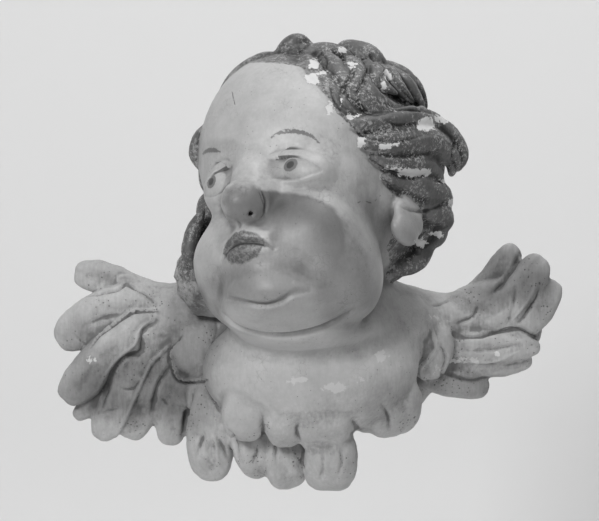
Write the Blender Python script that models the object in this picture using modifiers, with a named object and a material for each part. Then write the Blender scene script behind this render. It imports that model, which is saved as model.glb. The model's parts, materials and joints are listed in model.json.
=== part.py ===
"""Winged cherub head for a wall, carved in one block, with a flat back that lies on the wall.

The frame: +X to the viewer's right, +Y into the wall, +Z up. The origin is on the flat back, behind the neck.
Sizes below are in millimetres, and MM turns them into Blender's metres.
"""

import math

import bmesh
import bpy
import numpy as np
from mathutils import Matrix, Vector
from mathutils.bvhtree import BVHTree

MM = 0.001

# The head's place and pose. Its own axes: +X its left ear, -Y the way it faces, +Z its crown.
HEAD_CENTRE = (-4, -84, 104)
HEAD_TURN_DEG = 34
HEAD_LIFT_DEG = 20
HEAD_LEAN_DEG = 12

FORM_VOXEL = 2.6
CARVING_VOXEL = 1.8
CARVING_SMOOTHING = 2
TRIANGLES = 9000


def head_rotation():
    """Turn to the viewer's left, face lifted, crown leaning to the viewer's left."""
    turn = Matrix.Rotation(math.radians(-HEAD_TURN_DEG), 3, "Z")
    lift = Matrix.Rotation(math.radians(-HEAD_LIFT_DEG), 3, "X")
    lean = Matrix.Rotation(math.radians(-HEAD_LEAN_DEG), 3, "Y")
    return np.array(turn @ lift @ lean)


HEAD = head_rotation()


def on_head(points):
    """Points given on the head's own axes, as points of the plaque."""
    return np.asarray(points, float) @ HEAD.T + HEAD_CENTRE


def off_head(points):
    """Points of the plaque, on the head's own axes."""
    return (np.asarray(points, float) - HEAD_CENTRE) @ HEAD


def clear_scene():
    for old in list(bpy.data.objects):
        bpy.data.objects.remove(old)


def ball(segments=28, rings=20):
    """A new unit sphere object, and its points."""
    bpy.ops.mesh.primitive_uv_sphere_add(segments=segments, ring_count=rings, radius=1)
    made = bpy.context.object
    points = np.empty(len(made.data.vertices) * 3)
    made.data.vertices.foreach_get("co", points)
    return made, points.reshape(-1, 3)


def set_points(made, points):
    made.data.vertices.foreach_set("co", (np.asarray(points) * MM).astype(np.float32).ravel())
    made.data.update()


def get_points(made):
    points = np.empty(len(made.data.vertices) * 3, np.float32)
    made.data.vertices.foreach_get("co", points)
    return points.reshape(-1, 3).astype(float) / MM


def smooth_curve(controls, t):
    """Points at t in 0..1 on a smooth curve through the controls (Catmull-Rom)."""
    controls = np.asarray(controls, float)
    if controls.ndim == 1:
        controls = controls[:, None]
    ends = np.vstack([2 * controls[0] - controls[1], controls, 2 * controls[-1] - controls[-2]])
    spans = len(controls) - 1
    s = np.clip(np.asarray(t, float) * spans, 0, spans - 1e-9)
    i = s.astype(int)
    u = (s - i)[:, None]
    a, b, c, d = (ends[i + k] for k in range(4))
    return 0.5 * (2 * b + (c - a) * u + (2 * a - 5 * b + 4 * c - d) * u**2 + (3 * b - a - 3 * c + d) * u**3)


def lobe(path, widths, thickness, facing, blunt=2.4, square=2.0, segments=20, rings=22):
    """A lock or feather: a sphere drawn out along a path, its broad face turned to facing.

    widths are half widths along the path, thickness half thicknesses, both evenly spaced.
    facing is a direction, or a point that the broad face looks away from, marked by a 4th value of 1.
    blunt makes the two ends fuller, and square makes the section boxier.
    """
    made, unit = ball(segments, rings)
    along = unit[:, 2]
    t = (along + 1) / 2
    ring = np.maximum(np.hypot(unit[:, 0], unit[:, 1]), 1e-9)
    across, out = unit[:, 0] / ring, unit[:, 1] / ring
    size = np.where(ring < 1e-6, 0, np.maximum(1 - np.abs(along) ** blunt, 0) ** (1 / blunt))
    size = size / np.maximum(np.abs(across) ** square + np.abs(out) ** square, 1e-6) ** (1 / square)
    centre = smooth_curve(path, t)
    ahead = smooth_curve(path, np.minimum(t + 0.01, 1)) - smooth_curve(path, np.maximum(t - 0.01, 0))
    ahead /= np.linalg.norm(ahead, axis=1)[:, None]
    facing = np.asarray(facing, float)
    normal = centre - facing[:3] if len(facing) == 4 else np.tile(facing, (len(centre), 1))
    normal = normal - (normal * ahead).sum(1)[:, None] * ahead
    normal /= np.linalg.norm(normal, axis=1)[:, None]
    side = np.cross(normal, ahead)
    wide = smooth_curve(widths, t)[:, 0] * size
    thick = smooth_curve(thickness, t)[:, 0] * size
    set_points(made, centre + side * (across * wide)[:, None] + normal * (out * thick)[:, None])
    return made


def joined(pieces, name):
    """The pieces as one object."""
    bpy.ops.object.select_all(action="DESELECT")
    for piece in pieces:
        piece.select_set(True)
    bpy.context.view_layer.objects.active = pieces[0]
    bpy.ops.object.join()
    made = bpy.context.object
    made.name = name
    return made


def apply_modifier(made, kind, **settings):
    bpy.ops.object.select_all(action="DESELECT")
    made.select_set(True)
    bpy.context.view_layer.objects.active = made
    modifier = made.modifiers.new(kind.title(), kind)
    for key, value in settings.items():
        setattr(modifier, key, value)
    bpy.ops.object.modifier_apply(modifier=modifier.name)


def fused(made, voxel, smoothing=0):
    """The overlapping shapes as one skin, with its hollows softened."""
    apply_modifier(made, "REMESH", mode="VOXEL", voxel_size=voxel * MM)
    if smoothing:
        apply_modifier(made, "SMOOTH", factor=0.5, iterations=smoothing)
    return made


def normals_of(made):
    normals = np.empty(len(made.data.vertices) * 3, np.float32)
    made.data.vertex_normals.foreach_get("vector", normals)
    return normals.reshape(-1, 3).astype(float)


def distance_to_path(points, path):
    """How far each point is from a line through the path's points, and the share of the path's length there."""
    path = np.asarray(path, float)
    best = np.full(len(points), 1e9)
    where = np.zeros(len(points))
    lengths = np.linalg.norm(np.diff(path, axis=0), axis=1)
    run = np.concatenate([[0], np.cumsum(lengths)]) / max(lengths.sum(), 1e-9)
    for k in range(len(path) - 1):
        a, b = path[k], path[k + 1]
        u = np.clip(((points - a) @ (b - a)) / max((b - a) @ (b - a), 1e-12), 0, 1)
        d = np.linalg.norm(points - a - u[:, None] * (b - a), axis=1)
        closer = d < best
        best[closer] = d[closer]
        where[closer] = (run[k] + u * (run[k + 1] - run[k]))[closer]
    return best, where


# The masses of the head, on its own axes: centre, radii, and how far each melts into the ones before it.
HEAD_MASSES = (
    ((0, 10, 22), (75, 86, 84), 0),
    ((0, 36, 20), (81, 70, 84), 20),
    ((44, 34, 44), (33, 41, 31), 18),
    ((50, 44, 12), (37, 37, 29), 18),
    ((0, -30, 22), (62, 50, 56), 26),
    ((0, -26, -46), (53, 44, 60), 30),
    ((33, -42, -60), (32, 31, 33), 20),
    ((-33, -42, -60), (32, 31, 33), 20),
    ((34, -22, -84), (31, 32, 27), 20),
    ((-34, -22, -84), (31, 32, 27), 20),
    ((0, -66, -72), (22, 17, 18), 16),
    ((2, -32, -108), (46, 41, 19), 12),
    ((0, -60, -99), (28, 22, 20), 16),
)
# The masses of the trunk, in the plaque's frame.
TRUNK_MASSES = (
    ((6, -64, 10), (54, 56, 50), 10),
    ((-1, -98, 1), (58, 62, 19), 5),
    ((4, -50, -34), (82, 60, 48), 20),
    ((78, -26, 6), (58, 24, 23), 26),
    ((-84, -26, 8), (62, 24, 27), 26),
    ((-124, -18, -14), (46, 12, 42), 16),
    ((140, -16, 0), (40, 10, 28), 16),
    ((100, -18, -20), (26, 13, 24), 16),
    ((-88, -18, -44), (30, 13, 40), 16),
    ((-26, -24, -72), (62, 16, 32), 16),
    ((50, -24, -46), (42, 16, 24), 16),
    ((0, -14, 60), (60, 30, 100), 10),
)
# The features, on the head's axes, for the left half: centre, radii, melt; a negative melt cuts.
SOCKETS = (((32, -92, -12), (19, 16, 14), -12), ((66, -62, -8), (16, 26, 14), -16))
FEATURES = (
    ((32.5, -67.5, -16), (16, 14, 14.5), 2),
    ((0, -78, -22), (7, 9, 17), 10),
    ((0, -90, -43), (10.5, 10.5, 9.5), 8),
    ((9.5, -83, -46), (6.5, 8, 6.5), 4),
    ((5.5, -92, -53), (2.6, 4, 3.4), -1.5),
    ((0, -82, -81), (13, 7.5, 5.5), 4),
    ((7, -83, -70), (10.5, 6.5, 4.8), 3),
    ((71, 19, -42), (6, 10, 11), 3),
    ((73, 16, -26), (5, 13, 14), 3),
)


def egg_distance(points, centre, radii):
    """Roughly how far each point is outside an egg-shaped mass."""
    scaled = (points - centre) / radii
    a = np.linalg.norm(scaled, axis=1)
    b = np.linalg.norm(scaled / radii, axis=1)
    return a * (a - 1) / np.maximum(b, 1e-9)


def melted(a, b, melt):
    """The nearer of two distances, with the corner between them rounded over the melt's width."""
    if melt == 0:
        return np.minimum(a, b)
    h = np.maximum(melt - np.abs(a - b), 0) / melt
    return np.minimum(a, b) - h * h * melt / 4


def both_halves(rows):
    for centre, radii, melt in rows:
        yield centre, radii, melt
        if centre[0]:
            yield (-centre[0], *centre[1:]), radii, melt


def form_distance(points):
    """How far each point is outside the melted head and trunk."""
    own = off_head(points)
    distance = np.full(len(points), 1e3)
    for centre, radii, melt in HEAD_MASSES:
        distance = melted(distance, egg_distance(own, centre, radii), melt)
    for centre, radii, melt in both_halves(SOCKETS + FEATURES):
        egg = egg_distance(own, centre, radii)
        distance = melted(distance, egg, melt) if melt >= 0 else -melted(-distance, egg, -melt)
    for centre, radii, melt in TRUNK_MASSES:
        distance = melted(distance, egg_distance(points, centre, radii), melt)
    return distance


def mass(centre, radii, head=False):
    """An egg-shaped mass. On the head, its centre and radii are on the head's axes."""
    made, points = ball()
    points = points * radii + centre
    set_points(made, on_head(points) if head else points)
    return made


def settle(made, rounds=8, relaxing=0.4):
    """Moves the skin onto the melted form, keeping its points evenly spread."""
    ends = np.empty(len(made.data.edges) * 2, np.int32)
    made.data.edges.foreach_get("vertices", ends)
    ends = ends.reshape(-1, 2)
    points = get_points(made)
    count = np.bincount(ends.ravel(), minlength=len(points))
    for _ in range(rounds):
        around = np.stack([
            np.bincount(ends[:, 0], points[ends[:, 1], k], len(points))
            + np.bincount(ends[:, 1], points[ends[:, 0], k], len(points)) for k in range(3)
        ], axis=1) / count[:, None]
        points += (around - points) * relaxing
        set_points(made, points)
        points -= normals_of(made) * form_distance(points)[:, None]
    set_points(made, points)
    return made


def base_form():
    pieces = [mass(centre, radii, head=True) for centre, radii, _ in HEAD_MASSES]
    pieces += [mass(c, r, head=True) for c, r, melt in both_halves(FEATURES) if melt > 0]
    pieces += [mass(centre, radii) for centre, radii, _ in TRUNK_MASSES]
    return settle(fused(joined(pieces, "form"), FORM_VOXEL, 4))


# The scalp that the locks lie on, on the head's axes.
SCALP_CENTRE = (0, 10, 22)
SCALP_RADII = (76, 86, 84)
# Locks of the head's left side and crown: half width, then points as longitude from the face towards the left
# ear and latitude, in degrees, and height above the scalp.
LOCKS = (
    (8, ((-14, 55, 2), (4, 58, 5), (20, 60, 7), (36, 62, 7))),
    (6.5, ((-4, 57, 6), (8, 60, 12), (20, 61, 15), (34, 63, 11))),
    (9, ((25, 46, 3), (39, 60, 6), (61, 58, 7), (80, 54, 5))),
    (9, ((23, 62, 5), (33, 36, 3), (43, 18, 3), (53, 8, 3), (66, 6, 4))),
    (10, ((45, 62, 6), (48, 38, 5), (56, 20, 5), (70, 12, 6), (88, 17, 8))),
    (9, ((70, 58, 5), (61, 40, 8), (62, 25, 7), (72, 17, 8), (90, 20, 9))),
    (8, ((84, 56, 7), (75, 40, 11), (73, 28, 11), (84, 24, 13))),
    (8, ((94, 54, 11), (90, 42, 13), (88, 32, 13), (100, 25, 15))),
    (8, ((92, 58, 12), (100, 42, 16), (105, 33, 17), (113, 25, 18))),
    (9, ((98, 60, 14), (108, 46, 20), (114, 36, 21), (118, 27, 19))),
    (10, ((46, -1, 2), (68, 4, 8), (92, 14, 15), (108, 17, 20), (116, 13, 31), (119, 6, 36), (120, 0, 32))),
    (12, ((56, -8, 2), (77, -3, 8), (98, 5, 15), (110, 6, 22), (117, 3, 28), (118, -3, 27))),
    (9, ((66, -13, 2), (86, -10, 8), (105, -4, 15), (119, -7, 22))),
    (9, ((77, -20, 2), (97, -16, 9), (113, -12, 17), (122, -11, 25), (124, -16, 28))),
    (9, ((88, -26, 3), (107, -22, 9), (119, -19, 19), (127, -17, 29), (129, -23, 30))),
    (9, ((120, -12, 12), (129, -18, 22), (132, -24, 27), (132, -32, 22))),
    (10, ((127, -24, 14), (135, -28, 22), (139, -36, 22), (139, -44, 15), (131, -47, 8))),
    (9, ((138, -20, 12), (143, -32, 14), (146, -42, 12))),
    (11, ((119, -15, 8), (127, -23, 14), (132, -33, 16))),
    (7, ((-44, 19, 3), (-46, 9, 8), (-51, 2, 9), (-54, -6, 4))),
    (7.5, ((-61, -21, 8), (-63, -28, 22), (-66, -36, 34), (-71, -43, 37))),
    (10, ((-78, -22, 6), (-73, -30, 16), (-70, -37, 26), (-72, -44, 28))),
    (6, ((7, 58, 6), (-18, 48, 9), (-34, 36, 9), (-42, 20, 6))),
)
# Locks behind these are laid in rows round the head: latitude, height, half width, count, start and end.
BACK_ROWS = (
    (64, 10, 13, 6, 100, 318),
    (40, 10, 13, 8, 128, 294),
    (14, 10, 13, 8, 134, 284),
    (-12, 10, 13, 7, 140, 276),
    (-38, 9, 12, 6, 150, 276),
)


def on_scalp(longitude, latitude, lift):
    """A point above the scalp, in the plaque's frame."""
    lon, lat = math.radians(longitude), math.radians(latitude)
    way = np.array([math.sin(lon) * math.cos(lat), -math.cos(lon) * math.cos(lat), math.sin(lat)])
    return on_head(way * (np.array(SCALP_RADII) + lift) + SCALP_CENTRE)


def lock(half_width, points):
    """A tapering lock of hair along points over the scalp."""
    widths = (half_width * 0.7, half_width, half_width * 0.9, half_width * 0.4)
    thickness = (half_width * 0.55, half_width * 0.8, half_width * 0.75, half_width * 0.4)
    return lobe([on_scalp(*point) for point in points], widths, thickness, (*on_head(SCALP_CENTRE), 1))


def hair():
    """The locks that the view shows, and rows of curling ones behind."""
    locks = [lock(half_width, points) for half_width, points in LOCKS]
    for row, (latitude, lift, half_width, count, start, end) in enumerate(BACK_ROWS):
        step = (end - start) / count
        for k in range(count):
            lon = start + step * (k + 0.5 * (row % 2))
            bend = step * (0.35 if (k + row) % 2 else -0.35)
            path = ((lon, latitude + 13, lift), (lon + bend, latitude + 3, lift + 3),
                    (lon + bend * 0.6, latitude - 9, lift + 4), (lon - bend, latitude - 15, lift))
            locks.append(lock(half_width, path))
    return locks


# Feathers of the two wings and the breast: points from root to tip, half widths, half thickness, and how far
# the broad face turns to the right.
LEFT_WING = (
    (((-94, -26, 23), (-129, -22, 30), (-154, -24, 38), (-181, -28, 43)), (8, 9, 12, 14.5), 9, 0.0),
    (((-110, -32, 21), (-151, -32, 14), (-194, -30, -10)), (10, 18, 18), 10, -0.1),
    (((-114, -36, 13), (-150, -40, -15), (-189, -32, -55)), (10, 15, 17), 10, 0.2),
    (((-143, -26, -36), (-160, -24, -53), (-181, -20, -69)), (8, 9, 8), 8, 0.0),
    (((-114, -34, -5), (-138, -34, -44), (-163, -26, -85)), (10, 14, 15), 9, -0.2),
    (((-106, -34, -11), (-123, -32, -46), (-140, -24, -85)), (10, 14, 15), 9, 0.2),
    (((-103, -32, -26), (-106, -28, -61), (-107, -22, -90)), (10, 12.5, 12.5), 8, 0.1),
    (((-81, -46, 9), (-86, -54, -17), (-87, -52, -40)), (14, 19, 20), 11, -0.1),
)
RIGHT_WING = (
    (((109, -24, 17), (138, -20, 36), (159, -26, 63)), (7, 9.5, 12.5), 8, -0.2),
    (((119, -32, -1), (157, -32, 25), (179, -34, 55)), (11, 15, 14), 9, -0.2),
    (((123, -30, -7), (165, -28, 5), (190, -30, 36)), (11, 13, 12), 9, 0.2),
    (((98, -36, -11), (137, -36, -15), (177, -28, -14)), (10, 12, 9), 9, 0.1),
    (((94, -32, -26), (138, -28, -28), (171, -22, -25)), (8, 10, 8), 8, 0.1),
    (((82, -32, -36), (111, -30, -41), (138, -24, -46)), (11, 12, 11), 9, 0.1),
    (((80, -40, -9), (88, -44, -23), (88, -40, -38)), (7, 9, 8), 7, 0.2),
)
BREAST = (
    (((-82, -36, -50), (-77, -38, -85), (-74, -30, -116)), (12, 17, 16), 10, -0.1),
    (((-51, -40, -72), (-42, -44, -93), (-35, -32, -111)), (12, 16, 13), 10, -0.1),
    (((-28, -42, -78), (-20, -46, -101), (-14, -32, -119)), (12, 15, 14), 10, 0.0),
    (((18, -44, -68), (16, -48, -96), (13, -34, -120)), (14, 20, 20), 11, 0.0),
    (((53, -34, -36), (60, -36, -56), (64, -28, -79)), (18, 22, 22), 10, 0.2),
    (((-50, -68, -41), (-50, -76, -63), (-49, -62, -81)), (12, 15, 15), 11, -0.1),
    (((-22, -76, -53), (-20, -80, -70), (-18, -66, -86)), (9, 12, 11), 9, 0.0),
    (((14, -74, -47), (11, -80, -68), (8, -66, -91)), (14, 19, 18), 11, 0.1),
)


def feathers():
    return [
        lobe(path, widths, (thick, thick, thick * 0.8), (turn, -1, 0), blunt=3, square=3)
        for path, widths, thick, turn in LEFT_WING + RIGHT_WING + BREAST
    ]


# Cuts and ridges on the face, on the head's axes, for the left half: points, half width, depth (below 0 raised).
FACE_STROKES = (
    (((0, -87, -75.5), (7, -86, -75), (14, -80, -76.5)), 2.2, 3.5),
    (((0, -76, -124), (15, -72, -123), (27, -64, -115), (36, -57, -104)), 3.5, 3.0),
    (((11, -78, -38), (16, -80, -45), (14, -80, -52)), 2.5, 2.0),
    (((16, -78, -19), (22, -84, -11), (32, -84, -6), (42, -76, -9), (49, -66, -16)), 3.0, 1.8),
    (((18, -78, -22), (26, -82, -28), (36, -80, -29), (45, -70, -24)), 2.6, 1.2),
    (((17, -80, -15), (23, -86, -5), (33, -86, 0), (43, -78, -3), (51, -66, -10)), 2.6, -1.8),
)


def stroke(made, points, half_width, depth):
    """Carves a cut along a line on the skin, or raises a ridge."""
    skin = get_points(made)
    tree = BVHTree.FromPolygons((skin * MM).tolist(), [tuple(f.vertices) for f in made.data.polygons])
    line = smooth_curve(points, np.linspace(0, 1, 24))
    line = np.array([tree.find_nearest(Vector(p * MM))[0] for p in line]) / MM
    distance, where = distance_to_path(skin, line)
    fade = np.sin(np.pi * np.clip(where, 0.02, 0.98)) ** 0.4
    share = np.clip(1 - (distance / half_width) ** 2, 0, None) ** 2
    set_points(made, skin - normals_of(made) * (share * fade * depth)[:, None])


def carve_face(made):
    for points, half_width, depth in FACE_STROKES:
        points = np.asarray(points, float)
        if points[0, 0] == 0:
            stroke(made, on_head(np.vstack([points[:0:-1] * (-1, 1, 1), points])), half_width, depth)
        else:
            stroke(made, on_head(points), half_width, depth)
            stroke(made, on_head(points * (-1, 1, 1)), half_width, depth)


def flat_back(made):
    """Cuts the carving off flat at the wall, and leaves the cutter hidden among the cutters."""
    bpy.ops.mesh.primitive_cube_add(size=1, location=(0, 0.25, 0))
    wall = bpy.context.object
    wall.name = "wall_cutter"
    wall.scale = (1, 0.5, 1)
    bpy.ops.object.transform_apply(location=True, rotation=False, scale=True)
    wall.hide_render = True
    wall.display_type = "WIRE"
    apply_modifier(made, "BOOLEAN", operation="DIFFERENCE", object=wall, solver="EXACT")
    into_collection(wall, "cutters")


def one_body(made):
    """Drops any flake that has come loose from the block."""
    skin = bmesh.new()
    skin.from_mesh(made.data)
    left = set(skin.verts)
    bodies = []
    while left:
        body = {left.pop()}
        edge = list(body)
        while edge:
            near = {e.other_vert(v) for v in edge for e in v.link_edges} & left
            left -= near
            body |= near
            edge = list(near)
        bodies.append(body)
    bodies.sort(key=len)
    bmesh.ops.delete(skin, geom=[v for body in bodies[:-1] for v in body], context="VERTS")
    skin.to_mesh(made.data)
    skin.free()


def into_collection(made, name):
    folder = bpy.data.collections.get(name) or bpy.data.collections.new(name)
    if name not in bpy.context.scene.collection.children:
        bpy.context.scene.collection.children.link(folder)
    for old in list(made.users_collection):
        old.objects.unlink(made)
    folder.objects.link(made)


def paint():
    """Dull old paint on wood."""
    made = bpy.data.materials.new("aged_painted_wood")
    made.use_nodes = True
    shader = made.node_tree.nodes["Principled BSDF"]
    shader.inputs["Base Color"].default_value = (0.38, 0.38, 0.38, 1)
    shader.inputs["Roughness"].default_value = 0.62
    shader.inputs["Metallic"].default_value = 0
    return made


def main():
    clear_scene()
    carving = fused(joined([base_form(), *hair(), *feathers()], "winged_cherub_head"), CARVING_VOXEL,
                    CARVING_SMOOTHING)
    carve_face(carving)
    full = sum(len(face.vertices) - 2 for face in carving.data.polygons)
    apply_modifier(carving, "DECIMATE", ratio=TRIANGLES / full)
    flat_back(carving)
    one_body(carving)
    carving.data.materials.clear()
    carving.data.materials.append(paint())
    carving.data.name = carving.name
    carving.data.shade_smooth()
    carving.data.set_sharp_from_angle(angle=math.radians(50))
    into_collection(carving, "cherub_wall_plaque")


if __name__ == "__main__":
    main()
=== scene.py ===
"""The looks of the winged cherub head: a painted wood carving with worn flesh, hair and feathers.

It is built again here from its masses, locks and feathers, finer than the frame's solid, cut with gouge
strokes, and painted. Sizes are millimetres unless a name says otherwise, and MM turns them into metres.
Marks on the hair, wings and chest are given where the camera sees them, in its 599 x 521 picture.
"""

import json
import logging
import math
from dataclasses import dataclass, field
from enum import Enum
from typing import Any, Iterable, Iterator, Sequence

import bpy
import numpy as np
from mathutils import Matrix, Vector, noise
from mathutils.bvhtree import BVHTree

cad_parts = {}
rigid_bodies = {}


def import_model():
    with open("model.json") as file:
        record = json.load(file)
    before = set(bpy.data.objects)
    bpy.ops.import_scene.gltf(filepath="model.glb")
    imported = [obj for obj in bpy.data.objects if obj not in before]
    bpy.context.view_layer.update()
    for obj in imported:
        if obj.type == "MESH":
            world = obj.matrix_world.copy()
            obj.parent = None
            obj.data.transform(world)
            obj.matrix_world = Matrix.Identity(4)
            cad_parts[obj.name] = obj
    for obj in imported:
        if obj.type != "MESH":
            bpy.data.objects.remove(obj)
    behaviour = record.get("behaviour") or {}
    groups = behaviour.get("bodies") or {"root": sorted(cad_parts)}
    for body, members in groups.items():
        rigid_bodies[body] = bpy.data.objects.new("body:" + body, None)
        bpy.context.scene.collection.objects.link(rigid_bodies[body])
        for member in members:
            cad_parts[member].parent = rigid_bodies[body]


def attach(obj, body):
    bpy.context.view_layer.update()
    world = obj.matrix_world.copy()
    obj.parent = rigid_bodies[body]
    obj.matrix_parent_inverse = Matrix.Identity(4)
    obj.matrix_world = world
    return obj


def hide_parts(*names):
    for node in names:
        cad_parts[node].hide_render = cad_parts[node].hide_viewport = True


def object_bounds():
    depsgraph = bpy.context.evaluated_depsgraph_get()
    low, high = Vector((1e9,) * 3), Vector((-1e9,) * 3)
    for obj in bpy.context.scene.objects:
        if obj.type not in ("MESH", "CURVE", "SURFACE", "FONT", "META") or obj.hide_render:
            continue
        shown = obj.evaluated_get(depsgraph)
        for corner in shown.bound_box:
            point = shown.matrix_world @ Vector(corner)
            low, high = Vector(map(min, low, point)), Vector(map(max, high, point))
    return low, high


for old in list(bpy.data.objects):
    bpy.data.objects.remove(old)
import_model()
CAD_BOX = [[float(v) for v in corner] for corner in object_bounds()]

LOG = logging.getLogger("cherub")
MM = 0.001
NODE = "winged_cherub_head"

Row = tuple[Any, ...]
Place = Sequence[float]
Socket = bpy.types.NodeSocket


@dataclass(frozen=True)
class View:
    """The camera's place, and how marks in its picture land on the carving."""

    width: int = 599
    height: int = 521
    pixel: float = 0.75
    lens: float = 200.0
    sensor: float = 36.0
    plane: float = -90.0
    zero: tuple[float, float] = (310.0, 330.0)

    def target(self) -> np.ndarray:
        """The point that the camera looks at."""
        return self.on_plane([(self.width / 2, self.height / 2)])[0]

    def eye(self) -> np.ndarray:
        """The camera's own place."""
        return self.target() - (0, self.width * self.pixel / self.sensor * self.lens, 0)

    def on_plane(self, marks: Sequence[Place]) -> np.ndarray:
        """Marks of the picture as points of the plane through the head's middle.

        Args:
            marks: x and y of each mark, in pixels.

        Returns:
            One point for each mark.
        """
        marks = np.asarray(marks, float)
        across = (marks[:, 0] - self.zero[0]) * self.pixel
        up = (self.zero[1] - marks[:, 1]) * self.pixel
        return np.stack([across, np.full(len(marks), self.plane), up], axis=1)

    def seen(self, points: np.ndarray) -> np.ndarray:
        """Where the camera sees each point, in pixels of its picture.

        Args:
            points: Points of the plaque.

        Returns:
            x and y of each.
        """
        eye = self.eye()
        ray = points - eye
        scale = (self.plane - eye[1]) / ray[:, 1]
        hit = eye + ray * scale[:, None]
        across = hit[:, 0] / self.pixel + self.zero[0]
        return np.stack([across, self.zero[1] - hit[:, 2] / self.pixel], axis=1)


VIEW = View()


@dataclass(frozen=True)
class HeadPose:
    """The head's place and pose. Its own axes: +X its left ear, -Y the way it faces, +Z its crown."""

    centre: tuple[float, float, float] = (-4, -84, 104)
    turn: float = 34
    lift: float = 20
    lean: float = 12

    def rotation(self) -> np.ndarray:
        """The head's axes as the columns of a matrix.

        Returns:
            The matrix, three by three.
        """
        turn = Matrix.Rotation(math.radians(-self.turn), 3, "Z")
        lift = Matrix.Rotation(math.radians(-self.lift), 3, "X")
        lean = Matrix.Rotation(math.radians(-self.lean), 3, "Y")
        return np.array(turn @ lift @ lean)

    def put(self, points: Any) -> np.ndarray:
        """Points on the head's axes, as points of the plaque."""
        return np.asarray(points, float) @ self.rotation().T + self.centre

    def own(self, points: Any) -> np.ndarray:
        """Points of the plaque, on the head's axes."""
        return (np.asarray(points, float) - self.centre) @ self.rotation()


POSE = HeadPose()
# The far half of the face is cut a little narrower, as it is seen from one side.
FAR_SIDE = 0.8


def alone(made: bpy.types.Object) -> None:
    """Selects this object only.

    Args:
        made: The object.
    """
    bpy.ops.object.select_all(action="DESELECT")
    made.select_set(True)
    bpy.context.view_layer.objects.active = made


def apply_modifier(made: bpy.types.Object, kind: str, **settings: Any) -> None:
    """Gives the object a modifier and applies it.

    Args:
        made: The object.
        kind: The modifier's type.
        **settings: Its settings by name.
    """
    alone(made)
    modifier = made.modifiers.new(kind.title(), kind)
    for key, value in settings.items():
        setattr(modifier, key, value)
    bpy.ops.object.modifier_apply(modifier=modifier.name)


def read(rows: Any, name: str, wide: int, kind: type) -> np.ndarray:
    """One attribute of each of a mesh's points or edges, a row for each.

    Args:
        rows: The mesh's points, normals or edges.
        name: The attribute's name.
        wide: How many values each row has.
        kind: The type of its values.

    Returns:
        The values.
    """
    values = np.empty(len(rows) * wide, kind)
    rows.foreach_get(name, values)
    return values.reshape(-1, wide)


def get_points(made: bpy.types.Object) -> np.ndarray:
    """The mesh's points in millimetres."""
    return read(made.data.vertices, "co", 3, np.float32).astype(float) / MM


def set_points(made: bpy.types.Object, points: np.ndarray) -> None:
    """Moves the mesh's points to these places in millimetres."""
    made.data.vertices.foreach_set("co", (np.asarray(points) * MM).astype(np.float32).ravel())
    made.data.update()


def get_normals(made: bpy.types.Object) -> np.ndarray:
    """The outward direction at each point of the mesh."""
    return read(made.data.vertex_normals, "vector", 3, np.float32).astype(float)


def get_net(made: bpy.types.Object) -> tuple[np.ndarray, np.ndarray]:
    """The two point numbers of each edge, and how many edges meet at each point."""
    ends = read(made.data.edges, "vertices", 2, np.int32)
    return ends, np.maximum(np.bincount(ends.ravel(), minlength=len(made.data.vertices)), 1)


def skin_tree(made: bpy.types.Object, points: np.ndarray) -> BVHTree:
    """A search tree of the object's skin, with its points at these places."""
    return BVHTree.FromPolygons(points.tolist(), [tuple(face.vertices) for face in made.data.polygons])


def joined(pieces: Sequence[bpy.types.Object], name: str) -> bpy.types.Object:
    """The pieces as one object of that name.

    Args:
        pieces: The objects.
        name: The name of the one that they become.

    Returns:
        That object.
    """
    bpy.ops.object.select_all(action="DESELECT")
    for piece in pieces:
        piece.select_set(True)
    bpy.context.view_layer.objects.active = pieces[0]
    bpy.ops.object.join()
    made = bpy.context.object
    made.name = name
    return made


def drop_hollows(made: bpy.types.Object) -> None:
    """Takes out the skins of closed hollows inside the block.

    Args:
        made: The object.
    """
    alone(made)
    bpy.ops.object.mode_set(mode="EDIT")
    bpy.ops.mesh.select_mode(type="VERT")
    bpy.ops.mesh.select_all(action="DESELECT")
    bpy.ops.object.mode_set(mode="OBJECT")
    made.data.vertices[int(get_points(made)[:, 2].argmax())].select = True
    bpy.ops.object.mode_set(mode="EDIT")
    bpy.ops.mesh.select_linked()
    bpy.ops.mesh.select_all(action="INVERT")
    bpy.ops.mesh.delete(type="VERT")
    bpy.ops.object.mode_set(mode="OBJECT")


def smooth_curve(controls: Any, t: Any) -> np.ndarray:
    """Points on a smooth curve through the controls.

    Args:
        controls: The points, or plain values, that the curve passes through.
        t: Shares of the curve's run, from 0 to 1.

    Returns:
        One point for each share.
    """
    controls = np.asarray(controls, float)
    if controls.ndim == 1:
        controls = controls[:, None]
    ends = np.vstack([2 * controls[0] - controls[1], controls, 2 * controls[-1] - controls[-2]])
    spans = len(controls) - 1
    s = np.clip(np.asarray(t, float) * spans, 0, spans - 1e-9)
    i = s.astype(int)
    u = (s - i)[:, None]
    a, b, c, d = (ends[i + k] for k in range(4))
    return 0.5 * (2 * b + (c - a) * u + (2 * a - 5 * b + 4 * c - d) * u**2 + (3 * b - a - 3 * c + d) * u**3)


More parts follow.
